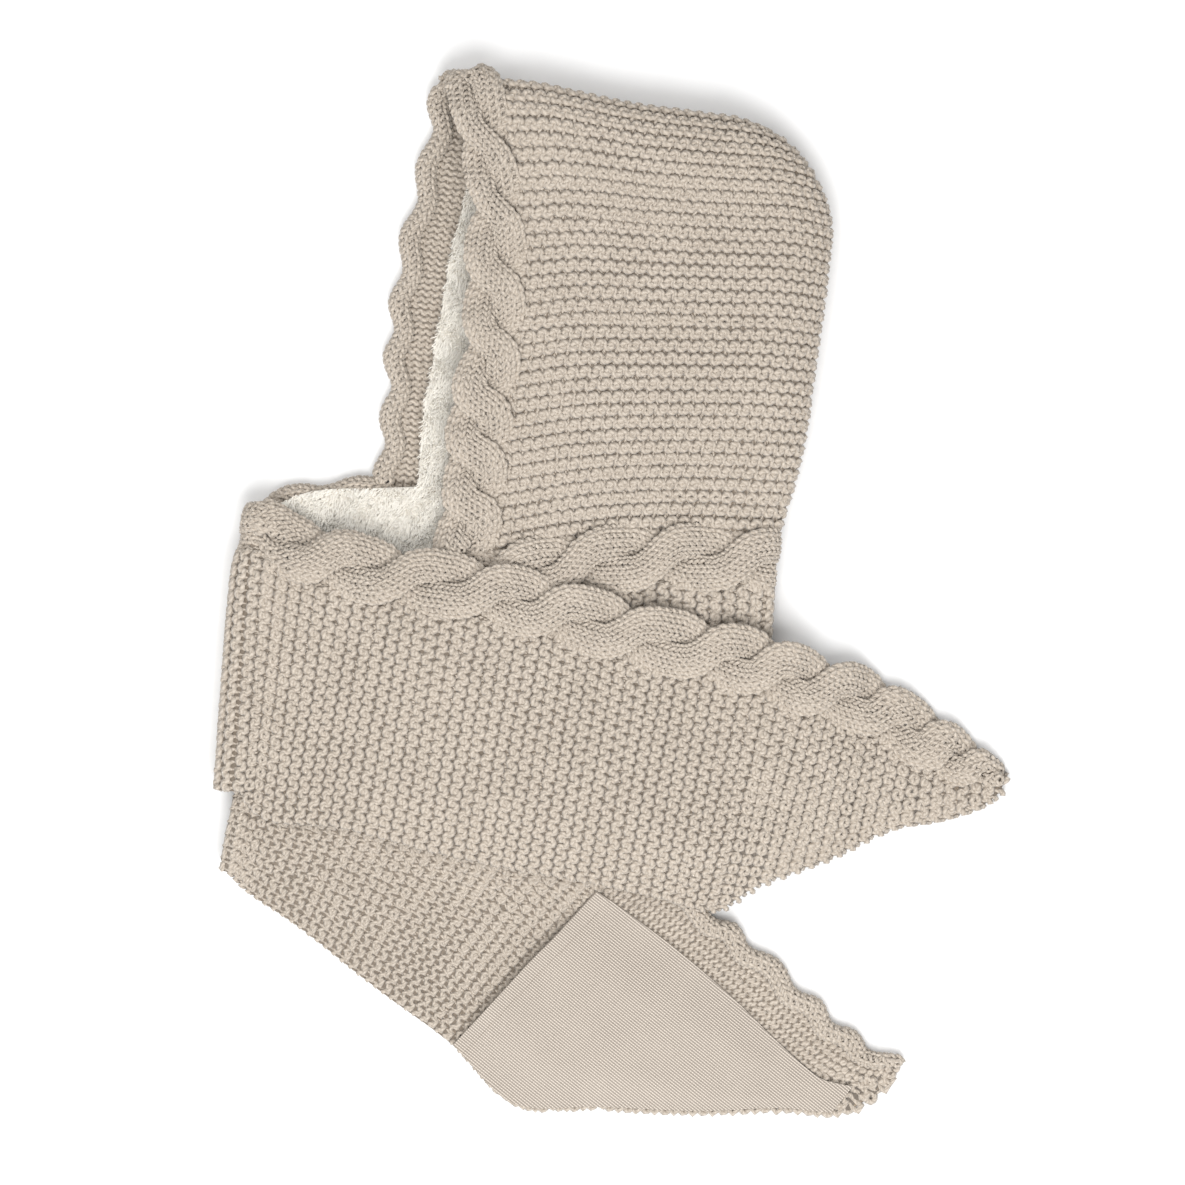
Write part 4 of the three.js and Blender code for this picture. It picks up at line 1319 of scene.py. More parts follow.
class Graph:
    """Builds one material's nodes."""

    def __init__(self, name: str) -> None:
        """Start an empty material.

        Args:
            name: The material's name.
        """
        self.material = bpy.data.materials.new(name)
        self.material.use_nodes = True
        self.tree = self.material.node_tree
        self.tree.nodes.clear()

    def node(
        self, kind: str, settings: dict[str, object] | None = None,
        values: dict[object, object] | None = None,
    ) -> bpy.types.Node:
        """Add a node.

        Args:
            kind: Its type.
            settings: Its own properties, set first.
            values: Its sockets' values or links, by name or number.

        Returns:
            The node.
        """
        node = self.tree.nodes.new(kind)
        for name, value in (settings or {}).items():
            setattr(node, name, value)
        for name, value in (values or {}).items():
            if isinstance(value, Wire):
                self.tree.links.new(value.socket, node.inputs[name])
            else:
                node.inputs[name].default_value = value
        return node

    def wire(self, node: bpy.types.Node, output: object = 0) -> "Wire":
        """Take one of a node's outputs as a value to reckon with."""
        return Wire(self, node.outputs[output])

    def cloth_place(self) -> tuple["Wire", "Wire"]:
        """Places across and along the cloth, in millimetres."""
        uv = self.wire(self.node("ShaderNodeUVMap", {"uv_map": "cloth"}))
        split = self.node("ShaderNodeSeparateXYZ", {}, {0: uv})
        return self.wire(split, 0), self.wire(split, 1)

    def object_place(self) -> "Wire":
        """Object coordinates."""
        return self.wire(self.node("ShaderNodeTexCoord"), "Object")

    def noise(self, place: "Wire", scale: float, detail: float = 2.0) -> "Wire":
        """Noise over a place, from 0 to 1."""
        values = {"Vector": place, "Scale": scale, "Detail": detail}
        return self.wire(self.node("ShaderNodeTexNoise", {}, values))

    def blend(self, share: "Wire", low: "Colour | Wire", high: "Colour | Wire") -> "Wire":
        """Mix two colours by a share."""
        values = {
            0: share,
            6: low if isinstance(low, Wire) else (*low, 1),
            7: high if isinstance(high, Wire) else (*high, 1),
        }
        return self.wire(self.node("ShaderNodeMix", {"data_type": "RGBA"}, values), 2)

    def finish(
        self, colour: "Wire", roughness: float, sheen: float, height: "Wire",
        distance: float, strength: float = 1.0,
    ) -> bpy.types.Material:
        """Close the material with its shader.

        Args:
            colour: Its base colour.
            roughness: Its roughness.
            sheen: Weight of its fabric sheen.
            height: Height that its bump follows.
            distance: Depth of the bump, in metres.
            strength: Strength of the bump.

        Returns:
            The material.
        """
        bump = self.node("ShaderNodeBump", {}, {
            "Strength": strength, "Distance": distance, "Height": height,
        })
        shader = self.node("ShaderNodeBsdfPrincipled", {}, {
            "Base Color": colour, "Roughness": roughness, "Sheen Weight": sheen,
            "Sheen Roughness": 0.6, "Specular IOR Level": 0.2, "Normal": self.wire(bump),
        })
        self.node("ShaderNodeOutputMaterial", {}, {"Surface": self.wire(shader)})
        return self.material


@dataclass(frozen=True)
class Wire:
    """A socket that can be reckoned with as a number.

    Attributes:
        graph: The material's nodes.
        socket: The socket.
    """

    graph: Graph
    socket: bpy.types.NodeSocket

    def math(self, operation: str, *others: object) -> "Wire":
        """Apply a Math node to this value and others."""
        values = {index: value for index, value in enumerate((self, *others))}
        node = self.graph.node("ShaderNodeMath", {"operation": operation}, values)
        return self.graph.wire(node)

    def __add__(self, other: object) -> "Wire":
        """Sum."""
        return self.math("ADD", other)

    __radd__ = __add__

    def __mul__(self, other: object) -> "Wire":
        """Product."""
        return self.math("MULTIPLY", other)

    __rmul__ = __mul__

    def __sub__(self, other: object) -> "Wire":
        """Difference."""
        return self.math("SUBTRACT", other)

    def __rsub__(self, other: float) -> "Wire":
        """Difference from a number."""
        return (self * -1.0) + other

    def sine(self) -> "Wire":
        """Sine."""
        return self.math("SINE")

    def clamp(self, low: float, high: float) -> "Wire":
        """Stretch the span from low to high over 0 to 1, and hold it there."""
        values = {0: self, 1: low, 2: high, 3: 0.0, 4: 1.0}
        return self.graph.wire(self.graph.node("ShaderNodeMapRange", {"clamp": True}, values))


@dataclass(frozen=True)
class YarnFinish:
    """Plied wool-like yarn, with flecks, and its twist as painted highlight and shade.

    Attributes:
        name: Name of the material.
        light: Colour of the raised fibres, a painted highlight, and of the light flecks.
        dark: Painted shade in the grooves between the plies, also the colour of the dark flecks.
        ply: Length of one turn of the twist, in millimetres.
        plies: Grooves round the yarn.
        fibre: Scale of the fibres' noise, in each metre.
        fleck: Scale of the flecks.
        patch: Scale of the shade's slow change.
        depth: Depth of the bump, in metres.
    """

    name: str
    light: Colour
    dark: Colour
    ply: float = 3.2
    plies: int = 3
    fibre: float = 1500.0
    fleck: float = 700.0
    patch: float = 28.0
    depth: float = 0.0005

    def material(self) -> bpy.types.Material:
        """Build the material."""
        graph = Graph(self.name)
        (around, along), place = graph.cloth_place(), graph.object_place()
        turns = around * (2 * math.pi * self.plies) + along * (2 * math.pi / self.ply)
        twist = turns.sine() * 0.5 + 0.5
        fibres = graph.noise(place, self.fibre, 3.0)
        patches = graph.noise(place, self.patch)
        flecks = graph.noise(place, self.fleck).clamp(0.35, 0.7)
        # Painted highlight and shade: the twist lightens the plies and darkens the grooves.
        tone = (twist * 0.4 + flecks * 0.35 + patches * 0.2 + 0.08).clamp(0.0, 1.0)
        colour = graph.blend(tone, self.dark, self.light)
        height = twist * 0.6 + fibres * 0.5
        return graph.finish(colour, roughness=0.95, sheen=0.25, height=height, distance=self.depth)


@dataclass(frozen=True)
class FurFinish:
    """Cream pile, darker toward its roots with painted shade.

    Attributes:
        name: Name of the material.
        tip: Colour at the tips.
        root: Colour at the roots, painted shade down in the pile, and of the darker patches.
        hair: Scale of the hairs' noise, in each metre.
        patch: Scale of the shade's slow change.
        depth: Depth of the bump, in metres.
    """

    name: str
    tip: Colour
    root: Colour
    hair: float = 900.0
    patch: float = 90.0
    depth: float = 0.0005

    def material(self) -> bpy.types.Material:
        """Build the material."""
        graph = Graph(self.name)
        (_, up), place = graph.cloth_place(), graph.object_place()
        patches, hairs = graph.noise(place, self.patch, 3.0), graph.noise(place, self.hair, 3.0)
        # Painted shade: the colour darkens from the tips toward the roots.
        tone = (up.clamp(0.0, 1.0) * 0.75 + patches * 0.45 - 0.1).clamp(0.0, 1.0)
        colour = graph.blend(tone, self.root, self.tip)
        return graph.finish(
            colour, roughness=1.0, sheen=0.35, height=hairs, distance=self.depth, strength=0.3
        )


@dataclass(frozen=True)
class FineKnitFinish:
    """Fine machine knit with narrow ribs that run along the arm, with painted shade in its holes.

    Attributes:
        name: Name of the material.
        light: Colour of the ribs.
        dark: Painted shade in the holes between them.
        rib: Pitch of the ribs, in millimetres.
        row: Pitch of the rows, in millimetres.
        grain: Scale of the yarn's noise, in each metre.
        patch: Scale of the shade's slow change.
        depth: Depth of the bump, in metres.
    """

    name: str
    light: Colour
    dark: Colour
    rib: float = 1.9
    row: float = 1.9
    grain: float = 1100.0
    patch: float = 30.0
    depth: float = 0.0009

    def material(self) -> bpy.types.Material:
        """Build the material."""
        graph = Graph(self.name)
        (across, along), place = graph.cloth_place(), graph.object_place()
        ribs = (across * (2 * math.pi / self.rib)).sine() * 0.5 + 0.5
        rows = (along * (2 * math.pi / self.row) + ribs * 1.4).sine() * 0.5 + 0.5
        grain = graph.noise(place, self.grain)
        height = ribs * 0.45 + rows * 0.55 * ribs + grain * 0.2
        # Painted shade: the colour follows the bump's height, darkest in the holes.
        tone = (height * 0.95 + graph.noise(place, self.patch) * 0.1 + 0.12).clamp(0.05, 1.0)
        colour = graph.blend(tone, self.dark, self.light)
        return graph.finish(colour, roughness=0.92, sheen=0.2, height=height, distance=self.depth)


# The yarn, with painted shade in its ply grooves, and the same yarn in painted shade between its
# loops
OAT_YARN = YarnFinish("oat_yarn", (0.61, 0.545, 0.47), (0.31, 0.257, 0.201))
OAT_SHADE_CORE = YarnFinish("oat_shade_core", (0.33, 0.265, 0.20), (0.24, 0.185, 0.135))
# The pile's root colour is painted shade down in the pile.
CREAM_PILE = FurFinish("cream_pile", (1.0, 0.98, 0.92), (1.0, 0.945, 0.86))
# The fine knit's dark colour is painted shade in the holes between its ribs.
OAT_FINE_KNIT = FineKnitFinish("oat_fine_knit", (0.76, 0.675, 0.585), (0.11, 0.085, 0.065))


# Sub-assemblies


@dataclass
class Workshop:
    """What every sub-assembly needs.

    Attributes:
        lay: Plan and heights of the cloth.
        strip: The folded scarf strip.
        shift: Where the nape point lies in the part's frame, in millimetres.
        knitter: Lays the yarn.
        yarn: Finish of the chunky yarn.
        core: Finish of the cloth that shows between the loops, coloured as painted shade.
        fur: Finish of the pile.
        fine: Finish of the pockets.
    """

    lay: Lay
    strip: Strip
    shift: Array
    knitter: Knitter
    yarn: bpy.types.Material
    core: bpy.types.Material
    fur: bpy.types.Material
    fine: bpy.types.Material

    def core_piece(self, name: str, sheet: Sheet, node: str, slot: str) -> bpy.types.Object:
        """Make the plain closed cloth under the stitches, coloured as painted shade between the
        loops.

        Args:
            name: The piece's name.
            sheet: The cloth's middle.
            node: The CAD node that it stands for.
            slot: Not used.

        Returns:
            The piece.
        """
        parts = MeshParts()
        add_slab(parts, sheet, CORE_HALF, CORE_HALF)
        piece = parts.piece(name, self.shift, self.core, crisp=True)
        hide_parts(node)
        return piece

    def stitches_piece(
        self, name: str, parts: MeshParts, node: str, slot: str
    ) -> bpy.types.Object:
        """Make the yarn of a piece of cloth."""
        piece = parts.piece(name, self.shift, self.yarn)
        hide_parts(node)
        return piece


@dataclass
class Hood:
    """The garter stitch pouch.

    Attributes:
        shop: What every sub-assembly needs.
        rows: Rows of its sheet.
        columns: Columns of each half.
        wrap: How far past the back fold the near side's stitches run.
        foot: Where the first course begins.
        head: How far below the crown's edge the last course ends.
    """

    shop: Workshop
    rows: int = 60
    columns: int = 40
    wrap: float = 45.0
    foot: float = 1.5
    head: float = 4.0

    def sheet(self) -> Sheet:
        """Both halves as one sheet, folded at the back."""
        lay = self.shop.lay
        a, b = spread(self.columns), spread(self.rows)
        near, far = lay.both_halves(*(half.shell(a, b) for half in hood_plans(lay)))
        return Sheet(np.concatenate([near, far[:, -2::-1]], axis=1))

    def build(self) -> None:
        """Make the cloth and its stitches."""
        shop, sheet = self.shop, self.sheet()
        core = shop.core_piece("hood_cloth", sheet, "hood_shell", "garter_knit")
        sheet = sheet.widened(UNDERLAP, UNDERLAP_DROP).lengthened(UNDERLAP, 2 * UNDERLAP_DROP)
        lengths = sheet.row_lengths(self.columns // 3)
        reach = lengths_along(sheet.places[self.rows // 2])
        wrapped = reach[self.columns] + self.wrap
        last = float(np.interp(wrapped, reach, np.arange(len(reach))))
        crown = lengths[-1] - self.wrap / 2
        parts = MeshParts()
        shop.knitter.cloth(
            parts, sheet, HOOD_GARTER, lengths, (self.foot, lengths[-1] - self.head),
            lambda middle: [(0.0, last if middle < crown else float(sheet.last_column))],
        )
        stitches = shop.stitches_piece("hood_stitches", parts, "hood_shell", "garter_knit")


@dataclass
class FaceBorder:
    """The cable round the face opening.

    Attributes:
        shop: What every sub-assembly needs.
        rope: Its two strands.
        rim: Its rolled edge on the far side.
        rows: Rows of each half.
        columns: Columns from the rim to the seam.
        past_crown: How far past the crown the strands run.
        far_start: How far past the crown the rolled edge begins.
    """

    shop: Workshop
    rope: Rope = Rope()
    rim: Rim = Rim()
    rows: int = 74
    columns: int = 9
    past_crown: float = 25.0
    far_start: float = 8.0

    def cable(self) -> Cable:
        """The border from the near neck over the crown to the far neck."""
        lay = self.shop.lay
        across = np.linspace(0, 1, self.columns)
        share = spread(self.rows)
        near, far = lay.both_halves(*(half.border(across, share) for half in hood_plans(lay)))
        sheet = Sheet(np.concatenate([near, far[-2::-1]]))
        lobes = np.arange(len(NEAR_FACE_LOBES)) - len(NEAR_FACE_LOBES) + 1
        climb = np.interp(near[:, 0, 1], NEAR_FACE_LOBES, lobes)
        fall = -np.interp(far[-2::-1, 0, 1], FAR_FACE_LOBES, lobes)
        return Cable(sheet, sheet.row_lengths(self.columns // 2), np.concatenate([climb, fall]))

    def build(self) -> None:
        """Make the cloth and its stitches."""
        shop, cable = self.shop, self.cable()
        trimmed = cable.sheet.trimmed(CORE_TRIM)
        core = shop.core_piece("face_border_cloth", trimmed, "face_cable", "cable_knit")
        crown, end = cable.lengths[self.rows - 1], cable.lengths[-1]
        parts = self.rope.knit(shop.knitter, cable, (0.0, crown + self.past_crown))
        near = shop.stitches_piece("face_border_near", parts, "face_cable", "cable_knit")
        parts = self.rim.knit(shop.knitter, cable, (crown + self.far_start, end))
        far = shop.stitches_piece("face_border_far", parts, "face_cable", "cable_knit")


@dataclass
class Scarf:
    """The garter stitch strip and its cable.

    Attributes:
        shop: What every sub-assembly needs.
        rope: The cable's two strands.
        rim: Its rolled edge where the inner side shows.
        bare_rim: The same where the cloth beside it is hidden.
        tuck: How far the stitches run on under the cloth above.
        far_from_nape: How far from the nape the legs' stitches show in any case, along X.
    """

    SAMPLES = 60
    PAST_MOUTH = 0.015
    NECK_START = 0.3
    ROLLED_TIP = 0.62

    shop: Workshop
    rope: Rope = Rope()
    rim: Rim = Rim()
    bare_rim: Rim = Rim(band=False)
    tuck: float = 16.0
    far_from_nape: float = -45.0

    def shown(self, sheet: Sheet, rows: Array, middle: float) -> list[tuple[float, float]]:
        """Columns of the band that show at a course.

        Args:
            sheet: The band.
            rows: Running length at each of its rows.
            middle: The course's length.

        Returns:
            First and last column of each stretch that shows.
        """
        strip, lay = self.shop.strip, self.shop.lay
        row = np.interp(middle, rows, np.arange(len(rows)))
        layer = Layer(int(strip.layers[int(row)]))
        if layer in (Layer.FAR_ARM, Layer.NEAR_FOLD, Layer.FAR_FOLD):
            return [(0.0, float(sheet.last_column))]
        stops = np.linspace(0, sheet.last_column, self.SAMPLES)
        spots, _ = sheet.spot(row, stops, 0)
        above = {
            Layer.NEAR_ARM: (lay.far_arm,),
            Layer.NEAR_LEG: (lay.far_arm, lay.near_arm),
            Layer.FAR_LEG: (lay.far_arm, lay.near_arm, lay.near_leg),
        }[layer]
        depth = np.max([depth_inside(spots[:, :2], laid.outline) for laid in above], axis=0)
        seen = depth < self.tuck
        if layer is Layer.NEAR_ARM:
            at = np.interp(row, np.arange(len(rows)), strip.at)
            if NEAR_MOUTH_AT + self.PAST_MOUTH < at < POCKET_END_AT:
                seen &= np.linalg.norm(spots - spots[-1], axis=1) <= self.tuck
        else:
            seen |= spots[:, 0] > self.far_from_nape
        return stretches(seen, stops)

    def build_band(self) -> None:
        """Make the band's cloth and its stitches."""
        shop, strip = self.shop, self.shop.strip
        core = shop.core_piece("scarf_cloth", strip.band, "scarf_band", "garter_knit")
        band = strip.band.widened(UNDERLAP, UNDERLAP_DROP)
        lengths = band.row_lengths(strip.BAND_COLUMNS // 3)
        bounds = lengths[strip.rows_of(Layer.FAR_LEG)[0]]
        fold = lengths[strip.rows_of(Layer.FAR_FOLD)[0]]
        for name, span in (
            ("near_arm_stitches", (1.0, bounds)),
            ("far_leg_stitches", (bounds, fold)),
            ("far_arm_stitches", (fold, lengths[-1] - 1.0)),
        ):
            parts = MeshParts()
            shop.knitter.cloth(
                parts, band, SCARF_GARTER, lengths, span,
                lambda middle: self.shown(band, lengths, middle),
            )
            shop.stitches_piece(name, parts, "scarf_band", "garter_knit")

    def build_cable(self) -> None:
        """Make the cable's cloth and its stitches."""
        shop, strip = self.shop, self.shop.strip
        knitter, sheet = shop.knitter, strip.cable
        trimmed = sheet.trimmed(CORE_TRIM)
        core = shop.core_piece("scarf_border_cloth", trimmed, "scarf_cable", "cable_knit")
        lengths = sheet.row_lengths(strip.CABLE_COLUMNS // 2)
        cable = Cable(sheet, lengths, strip.phase)
        first, last = ({layer: strip.rows_of(layer)[end] for layer in Layer} for end in (0, -1))
        neck = cable.part(slice(first[Layer.NEAR_LEG], last[Layer.NEAR_LEG] + 1))
        arm = cable.part(slice(first[Layer.FAR_FOLD], last[Layer.FAR_ARM] + 1))
        neck_end, arm_end = neck.lengths[-1], arm.lengths[-1]
        tip_side = lengths[last[Layer.NEAR_ARM]] * self.ROLLED_TIP
        start, end = lengths[first[Layer.FAR_LEG]], lengths[last[Layer.FAR_FOLD]]
        for name, form, part, span in (
            ("neck_border", self.rope, neck, (neck_end * self.NECK_START, neck_end)),
            ("far_arm_border", self.rope, arm, (arm.lengths[2], arm_end)),
            ("near_arm_border", self.rim, cable, (1.0, tip_side)),
            ("far_leg_border", self.bare_rim, cable, ((start + end) / 2, end)),
        ):
            parts = form.knit(knitter, part, span)
            shop.stitches_piece(name, parts, "scarf_cable", "cable_knit")


def stretches(seen: Array, stops: Array) -> list[tuple[float, float]]:
    """Turn marks along a line into the stretches that they cover."""
    edges = np.flatnonzero(np.diff(np.concatenate([[0], seen.astype(int), [0]])))
    pairs = [(float(stops[first]), float(stops[last - 1])) for first, last in edges.reshape(-1, 2)]
    return [pair for pair in pairs if pair[1] > pair[0]]


@dataclass
class Lining:
    """The fur inside the hood and over the inner side of the far neck.

    Attributes:
        shop: What every sub-assembly needs.
        steps: Rows and columns of each half.
        pile: Length of the pile.
        hairs: Tufts for each square centimetre.
        seed: Seed of their places.
    """

    DROP_ROWS = 24
    LEG_COLUMNS = 19
    LEAST_ROOM = 0.2
    NEAR_TUCK = 12
    LEG_TUCK = 10
    ARM_TUCK = 8
    COMB = (-0.35, -0.55, 0.0)
    CLUMP = 0.2
    STRAY = 0.22
    TUFT_STOPS = (0.0, 0.55, 1.0)
    TUFT_WIDTHS = (0.8, 0.7, 0.08)

    shop: Workshop
    steps: int = 36
    pile: float = 8.0
    hairs: float = 150.0
    seed: int = 11

    def level(self, spots: Array, side: int) -> Array:
        """Places of the lining's middle over plan points."""
        lay = self.shop.lay
        half = (lay.near_flat(spots) - FLOOR_LEVEL) / 2
        free = np.maximum(half - LINING_STANDOFF, self.LEAST_ROOM)
        inset = np.maximum(line_distance(spots, lay.fold_line) - LINING_INSET, 0)
        roll = roll_share(inset, ROLL_WIDTH - LINING_INSET)
        return raised(spots, FLOOR_LEVEL + half + side * free * roll)

    def pouch(self) -> Sheet:
        """Both halves as one sheet, folded at the back."""
        lay = self.shop.lay
        shares = spread(self.steps)
        near, far = (half.lining(shares, shares) for half in hood_plans(lay))
        return Sheet(
            np.concatenate([self.level(near, 1), self.level(far, -1)[:, -2::-1]], axis=1)
        )

    def drop(self) -> Sheet:
        """The lining of the neck and of the first leg, below the pouch."""
        lay = self.shop.lay
        a = spread(self.steps)
        pouch = hood_plans(lay)[1].lining(a, np.array([0.0]))[0]
        leg_end = lay.far_leg.last[0][0] + LINING_LIP
        share = np.linspace(0, 1, self.LEG_COLUMNS + 1)[:-1]
        x = mix(leg_end, pouch[0, 0], share)
        y = mix(lay.neck_height(lay.far_leg, x) - LINING_LIP, pouch[0, 1], share)
        top = np.vstack([np.stack([x, y], axis=-1), pouch])
        lean = NAPE_HEM[0] / NAPE_HEM[1] * np.concatenate([np.zeros(len(x)), a])
        down = LINING_DROP * (1 - np.linspace(0, 1, self.DROP_ROWS))[:, None]
        spots = np.stack([top[:, 0] - lean * down, top[:, 1] - down], axis=-1)
        return Sheet(self.level(spots, -1)[:, ::-1])

    def shown(self, spots: Array) -> Array:
        """Tell where the lining shows from above, or nearly."""
        lay = self.shop.lay
        near_face = np.array(NEAR_FACE)
        crown = lay.crown(np.linspace(0, 1, lay.CROWN_SAMPLES + 1))
        near = np.vstack([crown, plan(near_face[:, RIM], near_face[:, 0])])
        return (
            (depth_inside(spots, near) < self.NEAR_TUCK)
            & (depth_inside(spots, lay.near_leg.outline) < self.LEG_TUCK)
            & (depth_inside(spots, lay.far_arm.outline) < self.ARM_TUCK)
        )

    def tufts(
        self, parts: MeshParts, sheet: Sheet, first: int, rng: np.random.Generator
    ) -> None:
        """Add pile to the inner side of a sheet.

        Args:
            parts: The mesh that takes it.
            sheet: The lining's middle.
            first: First column with pile.
            rng: Where it grows.
        """
        cells = sheet.places[:, first:]
        down = np.diff(cells, axis=0)[:, :-1]
        right = np.diff(cells, axis=1)[:-1]
        areas = np.linalg.norm(np.cross(down, right), axis=-1)
        middles = (cells[:-1, :-1] + cells[1:, 1:]) / 2
        areas = areas * self.shown(middles[..., :2])
        count = int(areas.sum() / 100 * self.hairs)
        chosen = rng.choice(areas.size, count, p=(areas / areas.sum()).ravel())
        rows, places = np.divmod(chosen, areas.shape[1])
        rows = rows + rng.random(count)
        places = first + places + rng.random(count)
        roots, normals = sheet.spot(rows, places, -FUR_THICKNESS / 2)
        inward = -normals
        clump = np.stack([
            np.sin(roots[:, 0] / 5.3 + 2 * np.sin(roots[:, 1] / 7.1)),
            np.cos(roots[:, 1] / 4.7 + 2 * np.sin(roots[:, 0] / 6.3)),
            np.zeros(count),
        ], axis=1)
        lean = self.COMB + self.CLUMP * clump + rng.normal(0, self.STRAY, (count, 3))
        lengths = self.pile * rng.uniform(0.7, 1.15, count)[:, None]
        aside = unit(np.cross(inward, lean))
        stops = self.TUFT_STOPS
        rings = []
        for stop, width in zip(stops, self.TUFT_WIDTHS):
            middle = roots + lengths * (inward * (stop - 0.45 * stop**2) + lean * stop**1.6 * 0.6)
            rings.append(middle - aside * width / 2)
            rings.append(middle + aside * width / 2)
        corners = np.stack(rings, axis=1).reshape(-1, 3)
        spans = len(stops) - 1
        base = np.arange(count)[:, None] * 2 * len(stops)
        quads = np.concatenate([
            base + np.array([2 * k, 2 * k + 1, 2 * k + 3, 2 * k + 2]) for k in range(spans)
        ], axis=1).reshape(-1, 4)
        texture = np.empty((count, spans, 4, 2))
        for step in range(spans):
            texture[:, step, :, 0] = (0.0, 1.0, 1.0, 0.0)
            texture[:, step, :, 1] = (stops[step], stops[step], stops[step + 1], stops[step + 1])
        parts.add(corners, quads, texture)

    def build(self) -> None:
        """Make the backing and its pile."""
        shop = self.shop
        pouch, drop = self.pouch(), self.drop()
        backing = MeshParts()
        for sheet in (pouch, drop):
            add_slab(backing, sheet, FUR_THICKNESS / 2, FUR_THICKNESS / 2 - 1)
        core = backing.piece("lining_cloth", shop.shift, shop.fur)
        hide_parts("hood_lining")
        rng = np.random.default_rng(self.seed)
        pile = MeshParts()
        self.tufts(pile, pouch, pouch.last_column // 2, rng)
        self.tufts(pile, drop, 0, rng)
        tufts = pile.piece("lining_pile", shop.shift, shop.fur)
        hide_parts("hood_lining")


@dataclass
class Pocket:
    """A fine-knit pocket on the inner side of an arm.

    Attributes:
        shop: What every sub-assembly needs.
        layer: The arm that it is sewn to.
        mouth: Share of the arm at which it opens.
        name: Name of its CAD node.
        heading: Plan direction of its ribs, in degrees.
    """

    COLUMNS = 32
    FIRST_COLUMN = -0.3
    WIDEST_HEM = 0.2
    HEM_FROM = 0.7
    ROLL_HEIGHT = 0.9
    ROLL_WIDTH = 0.012
    MOUTH_ROWS = 3
    MOUTH_DEPTH = 0.7

    shop: Workshop
    layer: Layer
    mouth: float
    name: str
    heading: float

    def build(self) -> None:
        """Make the panel."""
        shop, strip = self.shop, self.shop.strip
        rows = strip.rows_of(self.layer)
        at = strip.at[rows]
        kept = rows[(at >= self.mouth) & (at <= POCKET_END_AT)]
        band = Sheet(strip.band.places[kept])
        at = strip.at[kept][:, None]
        columns = np.linspace(self.FIRST_COLUMN, band.last_column, self.COLUMNS)
        hem = np.minimum(POCKET_HEM / band.widths(), self.WIDEST_HEM)[:, None]
        inward = smooth_step(self.HEM_FROM, 1, columns / band.last_column)
        across = columns[None] * (1 - hem * inward)
        room = pocket_room(at, self.mouth, across / band.last_column)
        mouth_roll = self.ROLL_HEIGHT * bump_at(0, self.ROLL_WIDTH, at - self.mouth)
        rows = np.arange(len(kept))[:, None]
        places, _ = band.spot(rows, across, -(POCKET_SEAT + room + mouth_roll))
        panel = Sheet(places)
        at_mouth = places[:self.MOUTH_ROWS] if at[0] < at[-1] else places[-self.MOUTH_ROWS:]
        parts = MeshParts()
        for sheet in (panel, Sheet(at_mouth).lowered(self.MOUTH_DEPTH)):
            add_slab(parts, sheet, POCKET_HALF, POCKET_HALF, self.heading)
        piece = parts.piece(f"{self.name}_panel", shop.shift, shop.fine, crisp=True)
        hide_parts(self.name)
        length = panel.row_lengths(self.COLUMNS // 2)[-1] * MM
        area = float(np.linalg.norm(np.cross(
            np.diff(places, axis=0)[:, :-1], np.diff(places, axis=1)[:-1]
        ), axis=-1).sum()) * MM * MM


# Studio


FLOOR_SIZE = 12.0
FLOOR_DEPTH = 0.0015
CAMERA_DISTANCE = 4.0
CAMERA_FOCUS = 0.03
SENSOR_WIDTH = 36.0
WORLD_STRENGTH = 0.58


def add_floor() -> None:
    """Add the pale floor."""
    bpy.ops.object.select_all(action="DESELECT")
    bpy.ops.mesh.primitive_plane_add(size=FLOOR_SIZE, location=(0, 0, -FLOOR_DEPTH))
    floor = bpy.context.object
    floor.name = "snood_floor"
    graph = Graph("floor_paint")
    grain = graph.noise(graph.object_place(), 40.0)
    colour = graph.blend(grain, (0.86, 0.86, 0.86), (0.89, 0.89, 0.89))
    floor.data.materials.append(graph.finish(colour, 0.9, 0.0, grain, 0.0001, 0.1))


def add_light(name: str, place: tuple[float, float, float], size: float, power: float) -> None:
    """Add a soft light that faces the middle of the floor."""
    data = bpy.data.lights.new(name, "AREA")
    data.shape = "SQUARE"
    data.size = size
    data.energy = power
    light = bpy.data.objects.new(name, data)
    bpy.context.scene.collection.objects.link(light)
    light.location = place
    light.rotation_euler = (
        math.atan2(math.hypot(place[0], place[1]), place[2]), 0,
        math.atan2(place[0], -place[1]),
    )


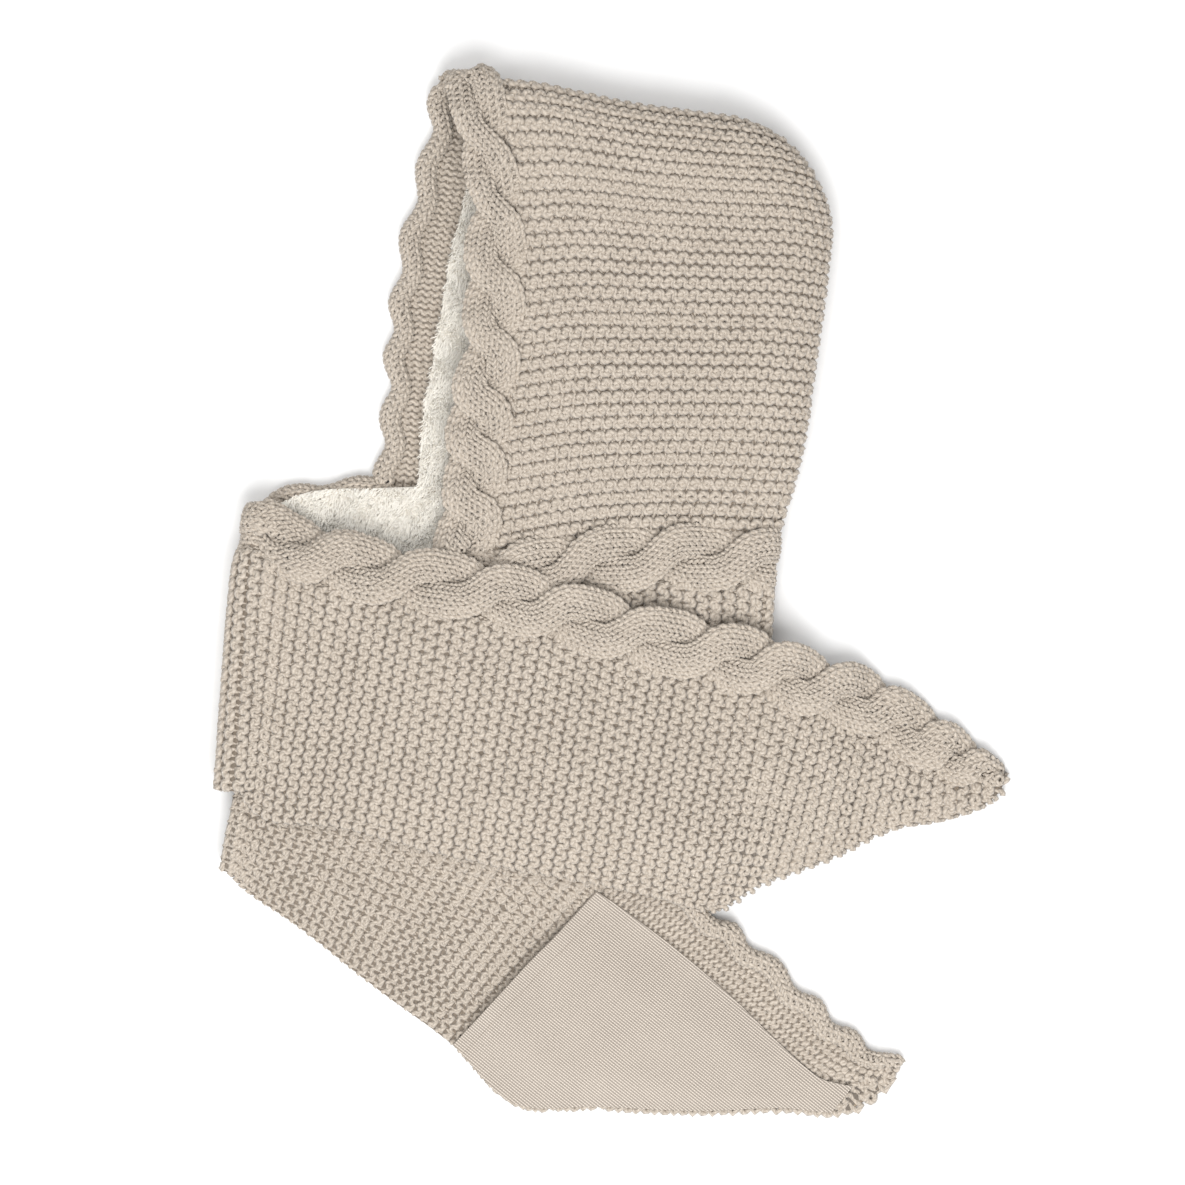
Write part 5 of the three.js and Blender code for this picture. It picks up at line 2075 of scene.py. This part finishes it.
def add_studio() -> None:
    """Add the floor, the lights, the surroundings and the camera."""
    add_floor()
    add_light("key_light", (0.2, -1.4, 2.7), 1.8, 88)
    add_light("fill_light", (-1.2, 0.9, 2.8), 2.2, 34)
    world = bpy.data.worlds.new("studio")
    world.use_nodes = True
    background = world.node_tree.nodes["Background"]
    background.inputs["Color"].default_value = (1.0, 1.0, 1.0, 1)
    background.inputs["Strength"].default_value = WORLD_STRENGTH
    bpy.context.scene.world = world
    bpy.context.scene.view_settings.view_transform = "Standard"
    data = bpy.data.cameras.new("camera")
    data.sensor_width = SENSOR_WIDTH
    data.lens = data.sensor_width * CAMERA_DISTANCE / (PHOTO_WIDTH * MM)
    data.clip_end = 50.0
    camera = bpy.data.objects.new("camera", data)
    bpy.context.scene.collection.objects.link(camera)
    x, y = PHOTO_MIDDLE
    camera.location = (x * MM, y * MM, CAMERA_DISTANCE + CAMERA_FOCUS)
    bpy.context.scene.camera = camera


def nape_shift(strip: Strip) -> Array:
    """Find where the nape point lies in the part's frame, from the band's box."""
    band = strip.band
    faces = [band.places + band.normals * OUTER_HALF, band.places - band.normals * INNER_HALF]
    points = np.concatenate(faces).reshape(-1, 3)
    low, high = (np.array(corner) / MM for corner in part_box("scarf_band"))
    shift = (low + high) / 2 - (points.min(axis=0) + points.max(axis=0)) / 2
    return np.array([shift[0], shift[1], 0.0])


def main() -> None:
    """Build the dressed scarf in its studio."""
    logging.basicConfig(level=logging.INFO, format="%(message)s")
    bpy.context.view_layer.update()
    add_studio()
    lay = Lay()
    strip = Strip(lay)
    finishes = (OAT_YARN, OAT_SHADE_CORE, CREAM_PILE, OAT_FINE_KNIT)
    materials = (finish.material() for finish in finishes)
    shop = Workshop(lay, strip, nape_shift(strip), Knitter(), *materials)
    log.info("nape point at %s mm", np.round(shop.shift, 2))
    Hood(shop).build()
    FaceBorder(shop).build()
    scarf = Scarf(shop)
    scarf.build_band()
    scarf.build_cable()
    Lining(shop).build()
    Pocket(shop, Layer.NEAR_ARM, NEAR_MOUTH_AT, "pocket_near", -39.0).build()
    Pocket(shop, Layer.FAR_ARM, FAR_MOUTH_AT, "pocket_far", FAR_ARM.heading).build()


if __name__ == "__main__":
    main()
